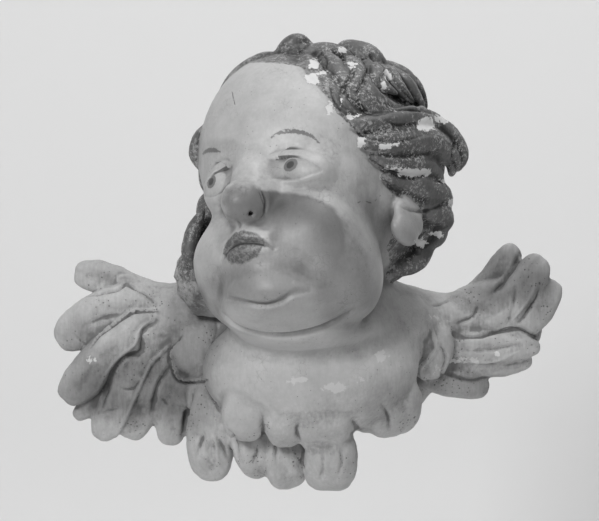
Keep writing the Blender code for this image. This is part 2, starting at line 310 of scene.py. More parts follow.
def to_path(points: np.ndarray, path: Any) -> tuple[np.ndarray, np.ndarray, np.ndarray]:
    """How points lie to a line through the path's points.

    Args:
        points: The points, in two or three dimensions.
        path: The line's corners, in as many dimensions.

    Returns:
        The distance of each point, the share of the line's length there, and the number of the nearest span.
    """
    path = np.asarray(path, float)
    best = np.full(len(points), 1e9)
    where = np.zeros(len(points))
    span = np.zeros(len(points), int)
    lengths = np.linalg.norm(np.diff(path, axis=0), axis=1)
    run = np.concatenate([[0], np.cumsum(lengths)]) / max(lengths.sum(), 1e-9)
    for k in range(len(path) - 1):
        a, b = path[k], path[k + 1]
        u = np.clip(((points - a) @ (b - a)) / max((b - a) @ (b - a), 1e-12), 0, 1)
        d = np.linalg.norm(points - a - u[:, None] * (b - a), axis=1)
        closer = d < best
        best[closer] = d[closer]
        where[closer] = (run[k] + u * (run[k + 1] - run[k]))[closer]
        span[closer] = k
    return best, where, span


def within(points: np.ndarray, corners: Any) -> np.ndarray:
    """How far each flat point is inside a closed outline, below 0 outside.

    Args:
        points: Flat points.
        corners: The outline's corners in order.

    Returns:
        One distance for each point.
    """
    corners = np.asarray(corners, float)
    closed = np.vstack([corners, corners[:1]])
    distance, _, _ = to_path(points, closed)
    inside = np.zeros(len(points), bool)
    for a, b in zip(closed[:-1], closed[1:]):
        rises = (a[1] > points[:, 1]) != (b[1] > points[:, 1])
        slope = (b[0] - a[0]) / ((b[1] - a[1]) or 1e-9)
        inside ^= rises & (points[:, 0] < a[0] + (points[:, 1] - a[1]) * slope)
    return np.where(inside, distance, -distance)


def off_oval(seen: np.ndarray, x: float, y: float, wide: float, high: float) -> np.ndarray:
    """How far each flat point is from an oval's middle: 0 there and 1 at its edge."""
    return np.hypot((seen[:, 0] - x) / wide, (seen[:, 1] - y) / high)


def ease(value: np.ndarray, low: float, high: float) -> np.ndarray:
    """0 below low, 1 above high, and a soft rise between."""
    t = np.clip((value - low) / (high - low), 0, 1)
    return t * t * (3 - 2 * t)


@dataclass
class Lobe:
    """A lock or a feather: a ball drawn out along a path, with flutes down its face."""

    path: np.ndarray
    widths: Sequence[float]
    thickness: Sequence[float]
    facing: Sequence[float]
    blunt: float = 2.4
    square: float = 2.0
    flutes: float = 3
    flute_depth: float = 0.0
    flute_edge: float = 2.0
    segments: int = 48
    rings: int = 40

    def build(self) -> bpy.types.Object:
        """Makes the lobe, with its place in its mesh.

        Returns:
            The lobe.
        """
        bpy.ops.mesh.primitive_uv_sphere_add(segments=self.segments, ring_count=self.rings, radius=1)
        made = bpy.context.object
        unit = get_points(made) * MM
        along = unit[:, 2]
        t = (along + 1) / 2
        ring = np.maximum(np.hypot(unit[:, 0], unit[:, 1]), 1e-9)
        across, out = unit[:, 0] / ring, unit[:, 1] / ring
        size = np.where(ring < 1e-6, 0, np.maximum(1 - np.abs(along) ** self.blunt, 0) ** (1 / self.blunt))
        corner = np.maximum(np.abs(across) ** self.square + np.abs(out) ** self.square, 1e-6)
        size = size / corner ** (1 / self.square)
        centre = smooth_curve(self.path, t)
        ahead = smooth_curve(self.path, np.minimum(t + 0.01, 1))
        ahead -= smooth_curve(self.path, np.maximum(t - 0.01, 0))
        ahead /= np.linalg.norm(ahead, axis=1)[:, None]
        facing = np.asarray(self.facing, float)
        normal = centre - facing[:3] if len(facing) == 4 else np.tile(facing, (len(centre), 1))
        normal = normal - (normal * ahead).sum(1)[:, None] * ahead
        normal /= np.linalg.norm(normal, axis=1)[:, None]
        side = np.cross(normal, ahead)
        wide = smooth_curve(self.widths, t)[:, 0] * size
        thick = smooth_curve(self.thickness, t)[:, 0] * size
        flute = (0.5 + 0.5 * np.cos(math.pi * self.flutes * (across + 1))) ** self.flute_edge
        flute *= self.flutes > 0
        reach = ease(t, 0.05, 0.35) * ease(np.clip(out, 0, 1), 0.1, 0.5)
        thick = thick * (1 - self.flute_depth * flute * reach)
        set_points(made, centre + side * (across * wide)[:, None] + normal * (out * thick)[:, None])
        return made


def egg_distance(points: np.ndarray, centre: Any, radii: Any) -> np.ndarray:
    """Roughly how far each point is outside an egg-shaped mass.

    Args:
        points: The points.
        centre: The mass's centre.
        radii: Its three radii.

    Returns:
        One distance for each point, below 0 inside.
    """
    scaled = (points - centre) / radii
    a = np.linalg.norm(scaled, axis=1)
    b = np.linalg.norm(scaled / radii, axis=1)
    return a * (a - 1) / np.maximum(b, 1e-9)


def melted(a: np.ndarray, b: np.ndarray, melt: float) -> np.ndarray:
    """The nearer of two distances, with the corner between them rounded over the melt's width.

    Args:
        a: Distances from one mass.
        b: Distances from the other.
        melt: How wide the rounding is.

    Returns:
        One distance for each point.
    """
    if melt == 0:
        return np.minimum(a, b)
    h = np.maximum(melt - np.abs(a - b), 0) / melt
    return np.minimum(a, b) - h * h * melt / 4


def both_halves(rows: Iterable[Row]) -> Iterator[Row]:
    """The rows, and each again on the other side of the face.

    Args:
        rows: Centre, radii and melt of each mass.

    Yields:
        Each row, and its mirror image if it is off the middle.
    """
    for centre, radii, melt in rows:
        yield centre, radii, melt
        if centre[0]:
            yield (-centre[0], *centre[1:]), radii, melt


@dataclass
class Form:
    """The melted masses of head and trunk: centre, radii, and how far each melts into those before it.

    The head's rows are on its own axes, and a feature with a melt below 0 is cut out.
    """

    voxel: float = 1.8
    rounds: int = 6
    relaxing: float = 0.45
    most_step: float = 6.0
    head: tuple[Row, ...] = (
        ((0, 10, 22), (75, 86, 84), 0),
        ((0, 36, 20), (81, 70, 84), 20),
        ((44, 34, 44), (33, 41, 31), 18),
        ((50, 44, 12), (37, 37, 29), 18),
        ((0, -30, 22), (62, 50, 56), 26),
        ((2, -26, -46), (51, 44, 60), 30),
        ((33, -42, -60), (32, 31, 33), 20),
        ((-32, -42, -65), (32, 31, 29), 20),
        ((34, -22, -84), (31, 32, 27), 20),
        ((-34, -22, -84), (31, 32, 27), 20),
        ((0, -64, -73), (24, 17, 20), 24),
        ((7, -36, -12), (54, 40, 38), 18),
        ((46, -8, -80), (16, 26, 30), 30),
        ((2, -32, -108), (46, 41, 19), 10),
        ((3, -58, -100), (20, 17, 15), 20),
        ((-9, -16, 47), (55, 55, 55), 14),
        ((-66, -42, -30), (15, 34, 16), -16),
    )
    trunk: tuple[Row, ...] = (
        ((6, -64, 10), (54, 56, 50), 10),
        ((-2, -92, 1), (54, 60, 19), 14),
        ((0, -75, -31), (81, 50, 49), 12),
        ((31, -64, 12), (20, 38, 30), 26),
        ((58, -48, 2), (32, 32, 26), 26),
        ((78, -26, 6), (58, 24, 23), 26),
        ((-84, -26, 8), (62, 24, 27), 26),
        ((-124, -18, -14), (46, 12, 42), 16),
        ((140, -16, 0), (40, 10, 28), 16),
        ((100, -18, -20), (26, 13, 24), 16),
        ((-88, -18, -44), (30, 13, 40), 16),
        ((-26, -24, -72), (62, 16, 32), 16),
        ((50, -24, -46), (42, 16, 24), 16),
        ((0, -14, 60), (60, 30, 100), 10),
    )
    features: tuple[Row, ...] = (
        ((31, -97, -8), (20, 14, 12), -18),
        ((19, -86, -22), (6, 7, 8), -10),
        ((36.5, -58, -17.5), (24, 20, 17), 5),
        ((0, -80, -31), (12.5, 9, 17), 20),
        ((1, -91, -44), (10, 9.2, 9), 16),
        ((8.5, -83, -46.5), (7, 8.5, 7), 5),
        ((8.5, -88, -53), (2.6, 4, 2.2), -1.5),
        ((0, -83.5, -69), (8, 5.5, 5.4), 7),
        ((8, -79.5, -71), (13, 5.4, 5.4), 7),
        ((5, -78, -80.5), (12, 6, 4.2), 7),
        ((75, 20, -41), (7, 16, 11), 4),
        ((75, 26, -28), (6, 19, 15), 4),
    )

    def distance(self, points: np.ndarray, trunk: bool = True) -> np.ndarray:
        """How far each point is outside the melted form, or outside the head alone.

        Args:
            points: Points of the plaque.
            trunk: False for the head alone.

        Returns:
            One distance for each point, below 0 inside.
        """
        own = POSE.own(points)
        distance = np.full(len(points), 1e3)
        for centre, radii, melt in self.head:
            distance = self.take(distance, egg_distance(own, centre, radii), melt)
        own = own * np.where(own[:, :1] < 0, (1 / FAR_SIDE, 1, 1), (1, 1, 1))
        for centre, radii, melt in both_halves(self.features):
            distance = self.take(distance, egg_distance(own, centre, radii), melt)
        for centre, radii, melt in self.trunk if trunk else ():
            distance = melted(distance, egg_distance(points, centre, radii), melt)
        return distance

    def take(self, distance: np.ndarray, egg: np.ndarray, melt: float) -> np.ndarray:
        """The distance with one more mass: melted on, or cut out where the melt is below 0."""
        return melted(distance, egg, melt) if melt >= 0 else -melted(-distance, egg, -melt)

    def mass(self, centre: Place, radii: Place, head: bool) -> bpy.types.Object:
        """One egg-shaped mass as an object.

        Args:
            centre: Its centre.
            radii: Its three radii.
            head: True if both are on the head's axes.

        Returns:
            The mass.
        """
        bpy.ops.mesh.primitive_uv_sphere_add(segments=40, ring_count=28, radius=1)
        made = bpy.context.object
        points = get_points(made) * MM * radii + centre
        set_points(made, POSE.put(points) if head else points)
        return made

    def build(self) -> bpy.types.Object:
        """Makes the form's skin and settles it on the melted masses.

        Returns:
            The form as one object.
        """
        pieces = [self.mass(centre, radii, True) for centre, radii, melt in self.head if melt >= 0]
        pieces += [self.mass(c, r, True) for c, r, melt in both_halves(self.features) if melt > 0]
        pieces += [self.mass(centre, radii, False) for centre, radii, _ in self.trunk]
        made = joined(pieces, "form")
        for _ in range(2):
            apply_modifier(made, "REMESH", mode="VOXEL", voxel_size=self.voxel * MM)
            drop_hollows(made)
            apply_modifier(made, "SMOOTH", factor=0.5, iterations=4)
            self.settle(made)
        return made

    def settle(self, made: bpy.types.Object) -> None:
        """Draws the skin onto the melted masses.

        Args:
            made: The form.
        """
        ends, count = get_net(made)
        points = get_points(made)
        for _ in range(self.rounds):
            points += (around(points, ends, count) - points) * self.relaxing
            set_points(made, points)
            off = np.clip(self.distance(points), -self.most_step, self.most_step)
            points -= get_normals(made) * off[:, None]
        set_points(made, points)


def around(points: np.ndarray, ends: np.ndarray, count: np.ndarray) -> np.ndarray:
    """The mean of each point's neighbours.

    Args:
        points: The mesh's points.
        ends: The point numbers of each edge.
        count: How many neighbours each point has.

    Returns:
        One mean for each point.
    """
    total = [
        np.bincount(ends[:, 0], points[ends[:, 1], k], len(points))
        + np.bincount(ends[:, 1], points[ends[:, 0], k], len(points))
        for k in range(3)
    ]
    return np.stack(total, axis=1) / count[:, None]


@dataclass
class Hair:
    """The locks on the scalp: half width, then places on it.

    A place is its longitude from the face towards the left ear, its latitude, and its lift off the scalp.
    """

    centre: tuple[float, float, float] = (0, 10, 22)
    radii: tuple[float, float, float] = (76, 86, 84)
    flutes: float = 3
    flute_depth: float = 0.1
    locks: tuple[Row, ...] = (
        (8, ((-14, 55, 2), (4, 58, 5), (20, 60, 7), (36, 62, 7))),
        (6.5, ((-4, 57, 6), (8, 60, 12), (20, 61, 15), (34, 63, 11))),
        (9, ((25, 46, 3), (39, 60, 6), (61, 58, 7), (80, 54, 5))),
        (9, ((23, 62, 5), (33, 36, 3), (43, 18, 3), (53, 8, 3), (66, 6, 4))),
        (10, ((45, 62, 6), (48, 38, 5), (56, 20, 5), (70, 12, 6), (88, 17, 8))),
        (9, ((70, 58, 5), (61, 40, 8), (62, 25, 7), (72, 17, 8), (90, 20, 9))),
        (8, ((84, 56, 7), (75, 40, 11), (73, 28, 11), (84, 24, 13))),
        (8, ((94, 54, 11), (90, 42, 13), (88, 32, 13), (100, 25, 15))),
        (8, ((92, 58, 12), (100, 42, 16), (105, 33, 17), (113, 25, 18))),
        (9, ((98, 60, 14), (108, 46, 20), (114, 36, 21), (118, 27, 19))),
        (10, ((46, -1, 2), (68, 4, 8), (92, 14, 15), (108, 17, 20), (116, 13, 31), (119, 6, 36),
              (120, 0, 32))),
        (12, ((56, -8, 2), (77, -3, 8), (98, 5, 15), (110, 6, 22), (117, 3, 28), (118, -3, 27))),
        (9, ((66, -13, 2), (86, -10, 8), (105, -4, 15), (119, -7, 22))),
        (9, ((77, -20, 2), (97, -16, 9), (113, -12, 17), (122, -11, 25), (124, -16, 28))),
        (9, ((88, -26, 3), (107, -22, 9), (119, -19, 19), (127, -17, 29), (129, -23, 30))),
        (9, ((120, -12, 12), (129, -18, 22), (132, -24, 27), (132, -32, 22))),
        (10, ((127, -24, 14), (135, -28, 22), (139, -36, 22), (139, -44, 15), (131, -47, 8))),
        (9, ((138, -20, 12), (143, -32, 14), (146, -42, 12))),
        (11, ((119, -15, 8), (127, -23, 14), (132, -33, 16))),
        (7, ((-44, 19, 3), (-46, 9, 8), (-51, 2, 9), (-54, -6, 4))),
        (7.5, ((-61, -21, 8), (-63, -28, 22), (-66, -34, 34), (-71, -39, 37))),
        (9, ((-78, -18, 6), (-73, -25, 16), (-70, -31, 24), (-72, -36, 24))),
        (4.5, ((7, 60, 6), (-16, 52, 9), (-33, 40, 9), (-43, 22, 6))),
    )
    back_rows: tuple[Row, ...] = (
        (64, 10, 13, 6, 100, 318),
        (40, 10, 13, 8, 128, 294),
        (14, 10, 13, 8, 134, 284),
        (-12, 10, 13, 7, 140, 276),
        (-38, 9, 12, 6, 150, 276),
    )
    hairline: tuple[tuple[float, float], ...] = (
        (-180, -50), (-110, -50), (-95, -31), (-84, -26), (-77, -20), (-66, -13), (-59, -7), (-51, 0),
        (-47, 8), (-46, 22), (-38, 43), (-26, 52), (-20, 48), (-8, 42), (8, 37), (20, 35), (31, 32), (37, 21),
        (40, 12), (42, 5), (51, -1), (59, -7), (66, -13), (77, -20), (84, -26), (95, -31), (110, -50),
        (180, -50),
    )

    def on_scalp(self, longitude: float, latitude: float, lift: float) -> np.ndarray:
        """A point above the scalp.

        Args:
            longitude: Degrees from the face towards the left ear.
            latitude: Degrees up from the scalp's middle.
            lift: Its height above the scalp.

        Returns:
            The point on the plaque.
        """
        lon, lat = math.radians(longitude), math.radians(latitude)
        way = np.array([math.sin(lon) * math.cos(lat), -math.cos(lon) * math.cos(lat), math.sin(lat)])
        return POSE.put(way * (np.array(self.radii) + lift) + self.centre)

    def lock(self, half_width: float, points: Sequence[Place]) -> bpy.types.Object:
        """A tapering lock along points over the scalp.

        Args:
            half_width: Half its greatest width.
            points: Longitude, latitude and lift of each place on its way.

        Returns:
            The lock.
        """
        return Lobe(
            path=np.array([self.on_scalp(*point) for point in points]),
            widths=[half_width * share for share in (0.7, 1, 0.9, 0.4)],
            thickness=[half_width * share for share in (0.55, 0.8, 0.75, 0.4)],
            facing=(*POSE.put(self.centre), 1),
            flutes=self.flutes,
            flute_depth=self.flute_depth,
        ).build()

    def build(self) -> bpy.types.Object:
        """Makes the locks that the view shows, and rows of curling ones behind, as one object.

        Returns:
            That object.
        """
        locks = [self.lock(half_width, points) for half_width, points in self.locks]
        for row, (latitude, lift, half_width, count, start, end) in enumerate(self.back_rows):
            step = (end - start) / count
            for k in range(count):
                lon = start + step * (k + 0.5 * (row % 2))
                bend = step * (0.35 if (k + row) % 2 else -0.35)
                path = (
                    (lon, latitude + 13, lift),
                    (lon + bend, latitude + 3, lift + 3),
                    (lon + bend * 0.6, latitude - 9, lift + 4),
                    (lon - bend, latitude - 15, lift),
                )
                locks.append(self.lock(half_width, path))
        return joined(locks, "locks")

    def covers(self, points: np.ndarray) -> np.ndarray:
        """How far each point of the plaque is above the hairline, below 0 on the bare skin.

        Args:
            points: Points of the plaque.

        Returns:
            One distance for each point.
        """
        own = POSE.own(points) - self.centre
        lon = np.degrees(np.arctan2(own[:, 0], -own[:, 1]))
        lat = np.degrees(np.arctan2(own[:, 2], np.hypot(own[:, 0], own[:, 1])))
        line = np.array(self.hairline)
        return (lat - np.interp(lon, line[:, 0], line[:, 1])) * math.radians(self.radii[0])


@dataclass
class Feathers:
    """A wing, or the frill at the breast.

    Each row has points from root to tip, half widths, half thickness, the turn of its face, and its flutes.
    """

    name: str
    rows: tuple[Row, ...]
    flute_depth: float = 0.14

    def build(self) -> bpy.types.Object:
        """Makes the feathers as one object.

        Returns:
            That object.
        """
        made = []
        for path, widths, thick, turn, flutes in self.rows:
            made.append(
                Lobe(
                    path=np.array(path, float),
                    widths=widths,
                    thickness=(thick, thick, thick * 0.8),
                    facing=(turn, -1, 0),
                    blunt=3,
                    square=3,
                    flutes=flutes,
                    flute_depth=self.flute_depth,
                    segments=64,
                ).build()
            )
        return joined(made, self.name)


LEFT_WING = Feathers("left_wing", (
    (((-94, -26, 23), (-129, -22, 30), (-154, -24, 38), (-181, -28, 43)), (8, 9, 12, 14.5), 9, 0.0, 2),
    (((-110, -32, 21), (-151, -32, 14), (-194, -30, -10)), (10, 18, 18), 10, -0.1, 1),
    (((-114, -36, 13), (-150, -40, -15), (-189, -32, -55)), (10, 15, 17), 10, 0.2, 2),
    (((-143, -26, -36), (-160, -24, -53), (-181, -20, -69)), (8, 9, 8), 8, 0.0, 2),
    (((-114, -34, -5), (-138, -34, -44), (-163, -26, -85)), (10, 14, 15), 9, -0.2, 2),
    (((-106, -34, -11), (-123, -32, -46), (-140, -24, -85)), (10, 14, 15), 9, 0.2, 2),
    (((-103, -32, -26), (-106, -28, -61), (-107, -22, -90)), (10, 12.5, 12.5), 8, 0.1, 2),
    (((-76, -32, 22), (-83, -42, -8), (-86, -45, -35)), (16, 21, 19), 13, -0.1, 1),
    (((-88, -24, 18), (-125, -26, 20), (-158, -28, 21)), (14, 16, 11), 11, 0.0, 0),
    (((-92, -30, 5), (-135, -32, -8), (-166, -31, -22)), (20, 25, 16), 12, 0.0, 0),
    (((-92, -30, -8), (-130, -32, -36), (-155, -27, -58)), (18, 25, 12), 11, 0.0, 0),
    (((-82, -32, -15), (-98, -32, -40), (-112, -28, -56)), (16, 20, 12), 11, 0.0, 0),
))
RIGHT_WING = Feathers("right_wing", (
    (((109, -24, 17), (138, -20, 36), (159, -26, 63)), (7, 9.5, 12.5), 8, -0.2, 2),
    (((119, -32, -1), (157, -32, 25), (179, -34, 55)), (11, 15, 14), 9, -0.2, 2),
    (((123, -30, -7), (165, -28, 5), (190, -30, 36)), (11, 13, 12), 9, 0.2, 1),
    (((98, -36, -11), (137, -36, -15), (177, -28, -14)), (10, 12, 9), 9, 0.1, 2),
    (((94, -32, -26), (138, -28, -28), (171, -22, -25)), (8, 10, 8), 8, 0.1, 2),
    (((82, -32, -36), (111, -30, -41), (138, -24, -46)), (11, 12, 11), 9, 0.1, 1),
    (((80, -40, -9), (88, -44, -23), (88, -40, -38)), (7, 9, 8), 7, 0.2, 2),
    (((92, -26, 5), (135, -30, 16), (162, -31, 30)), (18, 20, 15), 10, 0.0, 0),
    (((88, -32, -12), (130, -31, -16), (158, -27, -18)), (18, 18, 10), 10, 0.0, 0),
    (((86, -42, 6), (92, -46, -14), (88, -44, -38)), (16, 17, 14), 13, 0.1, 0),
))
BREAST = Feathers("breast", (
    (((-82, -46, -50), (-77, -50, -85), (-74, -40, -116)), (12, 17, 16), 11, -0.1, 2),
    (((-51, -58, -72), (-42, -60, -93), (-35, -46, -111)), (12, 16, 13), 12, -0.1, 2),
    (((-28, -60, -78), (-20, -62, -101), (-14, -46, -119)), (12, 15, 14), 12, 0.0, 2),
    (((18, -74, -68), (16, -80, -96), (13, -60, -120)), (14, 20, 20), 14, 0.0, 1),
    (((53, -74, -30), (60, -78, -52), (64, -60, -79)), (18, 24, 22), 14, 0.2, 3),
    (((-50, -98, -38), (-50, -96, -62), (-49, -78, -81)), (13, 16, 15), 12, -0.1, 0),
    (((-22, -104, -48), (-20, -98, -68), (-18, -80, -86)), (11, 14, 12), 11, 0.0, 0),
    (((14, -104, -44), (11, -98, -66), (8, -80, -91)), (16, 21, 18), 12, 0.1, 0),
    (((46, -88, -38), (48, -80, -58), (48, -66, -76)), (14, 18, 16), 12, 0.1, 0),
    (((-78, -38, -25), (-68, -50, -65), (-58, -48, -90)), (20, 24, 16), 17, 0.0, 0),
    (((-30, -50, -50), (-12, -56, -84), (0, -50, -100)), (28, 34, 24), 18, 0.0, 0),
    (((30, -50, -40), (42, -50, -60), (44, -46, -72)), (22, 24, 16), 16, 0.0, 0),
), flute_depth=0.12)


class Gouge(Enum):
    """The edge that a stroke is cut with."""

    ROUND = "a hollow or a rounded ridge"
    VEE = "a sharp furrow"
    STEP = "a lip: raised on the left of the stroke's way, cut on its right"


@dataclass
class Carver:
    """Cuts strokes into the skin of the block."""

    block: bpy.types.Object
    longest_leap: float = 40
    points: np.ndarray = field(init=False)
    normals: np.ndarray = field(init=False)
    tree: BVHTree = field(init=False)

    def __post_init__(self) -> None:
        """Takes the skin as it is."""
        self.points = get_points(self.block)
        self.settle()

    def settle(self) -> None:
        """Puts the cut skin back into the block, and reads its faces again."""
        set_points(self.block, self.points)
        self.normals = get_normals(self.block)
        self.tree = skin_tree(self.block, self.points)

    def land(self, marks: Sequence[Place]) -> np.ndarray:
        """A smooth line through marks of the camera's picture, laid on the skin.

        Args:
            marks: x and y of each mark, in pixels.

        Returns:
            The line's points.
        """
        line = VIEW.on_plane(smooth_curve(marks, np.linspace(0, 1, 8 * len(marks))))
        eye = VIEW.eye()
        hits = []
        for point in line:
            hit = self.tree.ray_cast(Vector(eye), Vector(point - eye).normalized())[0]
            if hit is None or (hits and (hit - hits[-1]).length > self.longest_leap):
                hit = self.tree.find_nearest(Vector(point + (0, 50, 0)))[0] if not hits else hits[-1]
            hits.append(hit)
        return np.array([list(hit) for hit in hits])

    def snap(self, points: Sequence[Place]) -> np.ndarray:
        """A smooth line through points on the head's axes, laid on the skin."""
        line = POSE.put(smooth_curve(points, np.linspace(0, 1, 24)))
        return np.array([list(self.tree.find_nearest(Vector(point))[0]) for point in line])

    def cut(self, line: np.ndarray, half_width: float, depth: float, gouge: Gouge = Gouge.VEE) -> None:
        """Cuts one stroke.

        Args:
            line: The stroke's line on the skin.
            half_width: How far it reaches to each side.
            depth: How deep it goes, below 0 for a ridge.
            gouge: The edge it is cut with.
        """
        low, high = line.min(0) - half_width * 1.5, line.max(0) + half_width * 1.5
        near = np.flatnonzero(((self.points > low) & (self.points < high)).all(1))
        if not len(near):
            return
        points, normals = self.points[near], self.normals[near]
        distance, where, span = to_path(points, line)
        fade = np.sin(np.pi * np.clip(where, 0.02, 0.98)) ** 0.5
        share = np.clip(1 - distance / half_width, 0, None)
        if gouge is Gouge.ROUND:
            share = np.clip(1 - (distance / half_width) ** 2, 0, None) ** 2
        elif gouge is Gouge.STEP:
            way = np.diff(line, axis=0)[span]
            side = (np.cross(normals, way) * (points - line[span])).sum(1)
            share = share**1.5 * np.where(side > 0, -0.8, 1)
        self.points[near] = points - normals * (share * fade * depth)[:, None]

    def fill(self, where: np.ndarray, strength: float, rounds: int, most: float) -> None:
        """Fills hollows as thick gesso does, and leaves what stands proud.

        Args:
            where: How much of it each point gets, from 0 to 1.
            strength: How strongly it fills where it lies in full.
            rounds: How many times the skin is gone over.
            most: How thick the filling gets.
        """
        ends, count = get_net(self.block)
        left = np.full(len(self.points), most)
        share = where * strength
        for step in range(rounds):
            if step % 6 == 0:
                set_points(self.block, self.points)
                self.normals = get_normals(self.block)
            short = ((around(self.points, ends, count) - self.points) * self.normals).sum(1)
            rise = np.minimum(np.maximum(short, 0) * share, left)
            left -= rise
            self.points += self.normals * rise[:, None]

    def roughen(self, where: np.ndarray, size: float, height: float, seed: float) -> None:
        """Gives the skin the unevenness of hand work.

        Args:
            where: How strongly it shows at each point.
            size: The size of its lumps.
            height: Their height.
            seed: Sets one pattern apart from another.
        """
        lumps = np.zeros(len(self.points))
        for k in np.flatnonzero(where > 0.01):
            lumps[k] = noise.noise(Vector(self.points[k] / size + seed))
        self.points += self.normals * (lumps * where * height)[:, None]


@dataclass
class Eye:
    """An eyeball between its lids, on the head's axes, for the left eye; the right one mirrors it."""

    centre: tuple[float, float, float] = (36.5, -57, -17.5)
    ball: float = 19.5
    wide: float = 1.2
    lid: float = 1.3
    inner: float = -52
    outer: float = 62
    up: float = 29
    down: float = 26
    droop: float = 14
    iris_lift: float = 3
    iris_turn: tuple[float, float] = (-4, -16)
    iris: float = 5.2
    crease_depth: float = 1.5
    crease_wide: float = 56
    crease_high: float = 47

    def middle(self, half: int) -> np.ndarray:
        """The eye's centre on the near half, 1, or the far half, -1."""
        return np.array(self.centre) * (1 if half > 0 else -FAR_SIDE, 1, 1) + (0, 0, 0 if half > 0 else 2.5)

    def angles(self, points: np.ndarray, half: int) -> tuple[np.ndarray, np.ndarray, np.ndarray]:
        """Each point's turn and lift about the eye, in degrees, and its distance from the eye's centre.

        Args:
            points: Points of the plaque.
            half: 1 for the near eye, -1 for the far one.

        Returns:
            The three values of each point.
        """
        wide = self.wide * (1 if half > 0 else FAR_SIDE)
        own = (POSE.own(points) - self.middle(half)) * (half / wide, 1, 1)
        reach = np.linalg.norm(own, axis=1)
        turn = np.degrees(np.arctan2(own[:, 0], -own[:, 1]))
        lift = np.degrees(np.arcsin(np.clip(own[:, 2] / np.maximum(reach, 1e-9), -1, 1)))
        return turn, lift, reach

    def upper(self, share: np.ndarray) -> np.ndarray:
        """The upper lid's lift at a share of the way from the inner corner to the outer."""
        inside = np.clip(share, 0, 1)
        return -self.droop * inside + self.up * np.sin(np.pi * inside**0.7)

    def share(self, turn: np.ndarray) -> np.ndarray:
        """How far a direction is on its way from the inner corner to the outer."""
        return (turn - self.inner) / (self.outer - self.inner)

    def opening(self, turn: np.ndarray, lift: np.ndarray) -> np.ndarray:
        """How far inside the lids' opening a direction is, in millimetres on the ball.

        Args:
            turn: Each direction's turn about the eye, in degrees.
            lift: Its lift, in degrees.

        Returns:
            One distance for each direction, below 0 outside.
        """
        share = self.share(turn)
        inside = np.clip(share, 0, 1)
        low = -self.droop * inside - self.down * np.sin(np.pi * inside**0.9)
        edge = np.minimum(self.upper(share) - lift, lift - low)
        ends = np.minimum(share, 1 - share) * (self.outer - self.inner)
        return np.radians(np.minimum(edge, ends)) * self.ball

    def ring(self, turn: np.ndarray, lift: np.ndarray) -> tuple[np.ndarray, np.ndarray, np.ndarray]:
        """How a direction lies to the crease round the lids: its distance, and its shares across and up."""
        across, up = (turn - 4) / self.crease_wide, (lift + 4) / self.crease_high
        return (np.hypot(across, up) - 1) * math.radians(self.crease_high) * self.ball, across, up

    def crease(self, turn: np.ndarray, lift: np.ndarray) -> np.ndarray:
        """How deep the crease round the lids is in a direction.

        Args:
            turn: Each direction's turn about the eye, in degrees.
            lift: Its lift, in degrees.

        Returns:
            One depth for each direction.
        """
        off, across, up = self.ring(turn, lift)
        strength = 0.3 + 0.7 * ease(up - across, -0.3, 0.8)
        return self.crease_depth * np.exp(-((off / 1.4) ** 2)) * strength * ease(-across, -0.6, 0.1)

    def lines(self, points: np.ndarray, half: int) -> Iterator[tuple[np.ndarray, np.ndarray]]:
        """The upper lid's edge and the crease above it: the signed distance, and how far past its ends.

        Args:
            points: Points of the plaque.
            half: 1 for the near eye, -1 for the far one.

        Yields:
            The two values of each point, for one line and then the other.
        """
        turn, lift, reach = self.angles(points, half)
        away = np.where((reach < self.ball + 5) & (np.abs(turn) < 100), 0.0, 9.0)
        share = self.share(turn)
        ends = 8 * (1 - ease(share, 0.08, 0.2) * ease(-share, -0.75, -0.4))
        yield np.radians(self.upper(share) - lift) * self.ball, away + ends
        off, across, up = self.ring(turn, lift)
        yield off, away + 8 * (1 - ease(up - across, 0, 0.8) * ease(-across, -0.4, 0.3))

    def carve(self, carver: Carver) -> None:
        """Cuts both eyeballs and their lids.

        Args:
            carver: The carver that holds the skin.
        """
        for half in (1, -1):
            turn, lift, reach = self.angles(carver.points, half)
            near = (reach < self.ball + 10) & (np.abs(turn) < 80) & (np.abs(lift) < 60)
            inside = self.opening(turn[near], lift[near])
            thick = self.lid * (0.75 + 0.25 * np.tanh((lift[near] + 6) / 8))
            lids = self.ball + thick * ease(inside, -6, -1.2) * ease(-inside, -0.2, 0.9)
            natural = reach[near]
            shaped = np.where(inside > 0, np.maximum(self.ball, natural - 2.6), np.maximum(natural, lids))
            blend = ease(inside, -0.9, 0.5)
            target = shaped * blend + np.maximum(natural, lids) * (1 - blend)
            target -= self.crease(turn[near], lift[near])
            own = POSE.own(carver.points[near])
            middle = self.middle(half)
            own = middle + (own - middle) * (target / natural)[:, None]
            carver.points[near] = POSE.put(own)


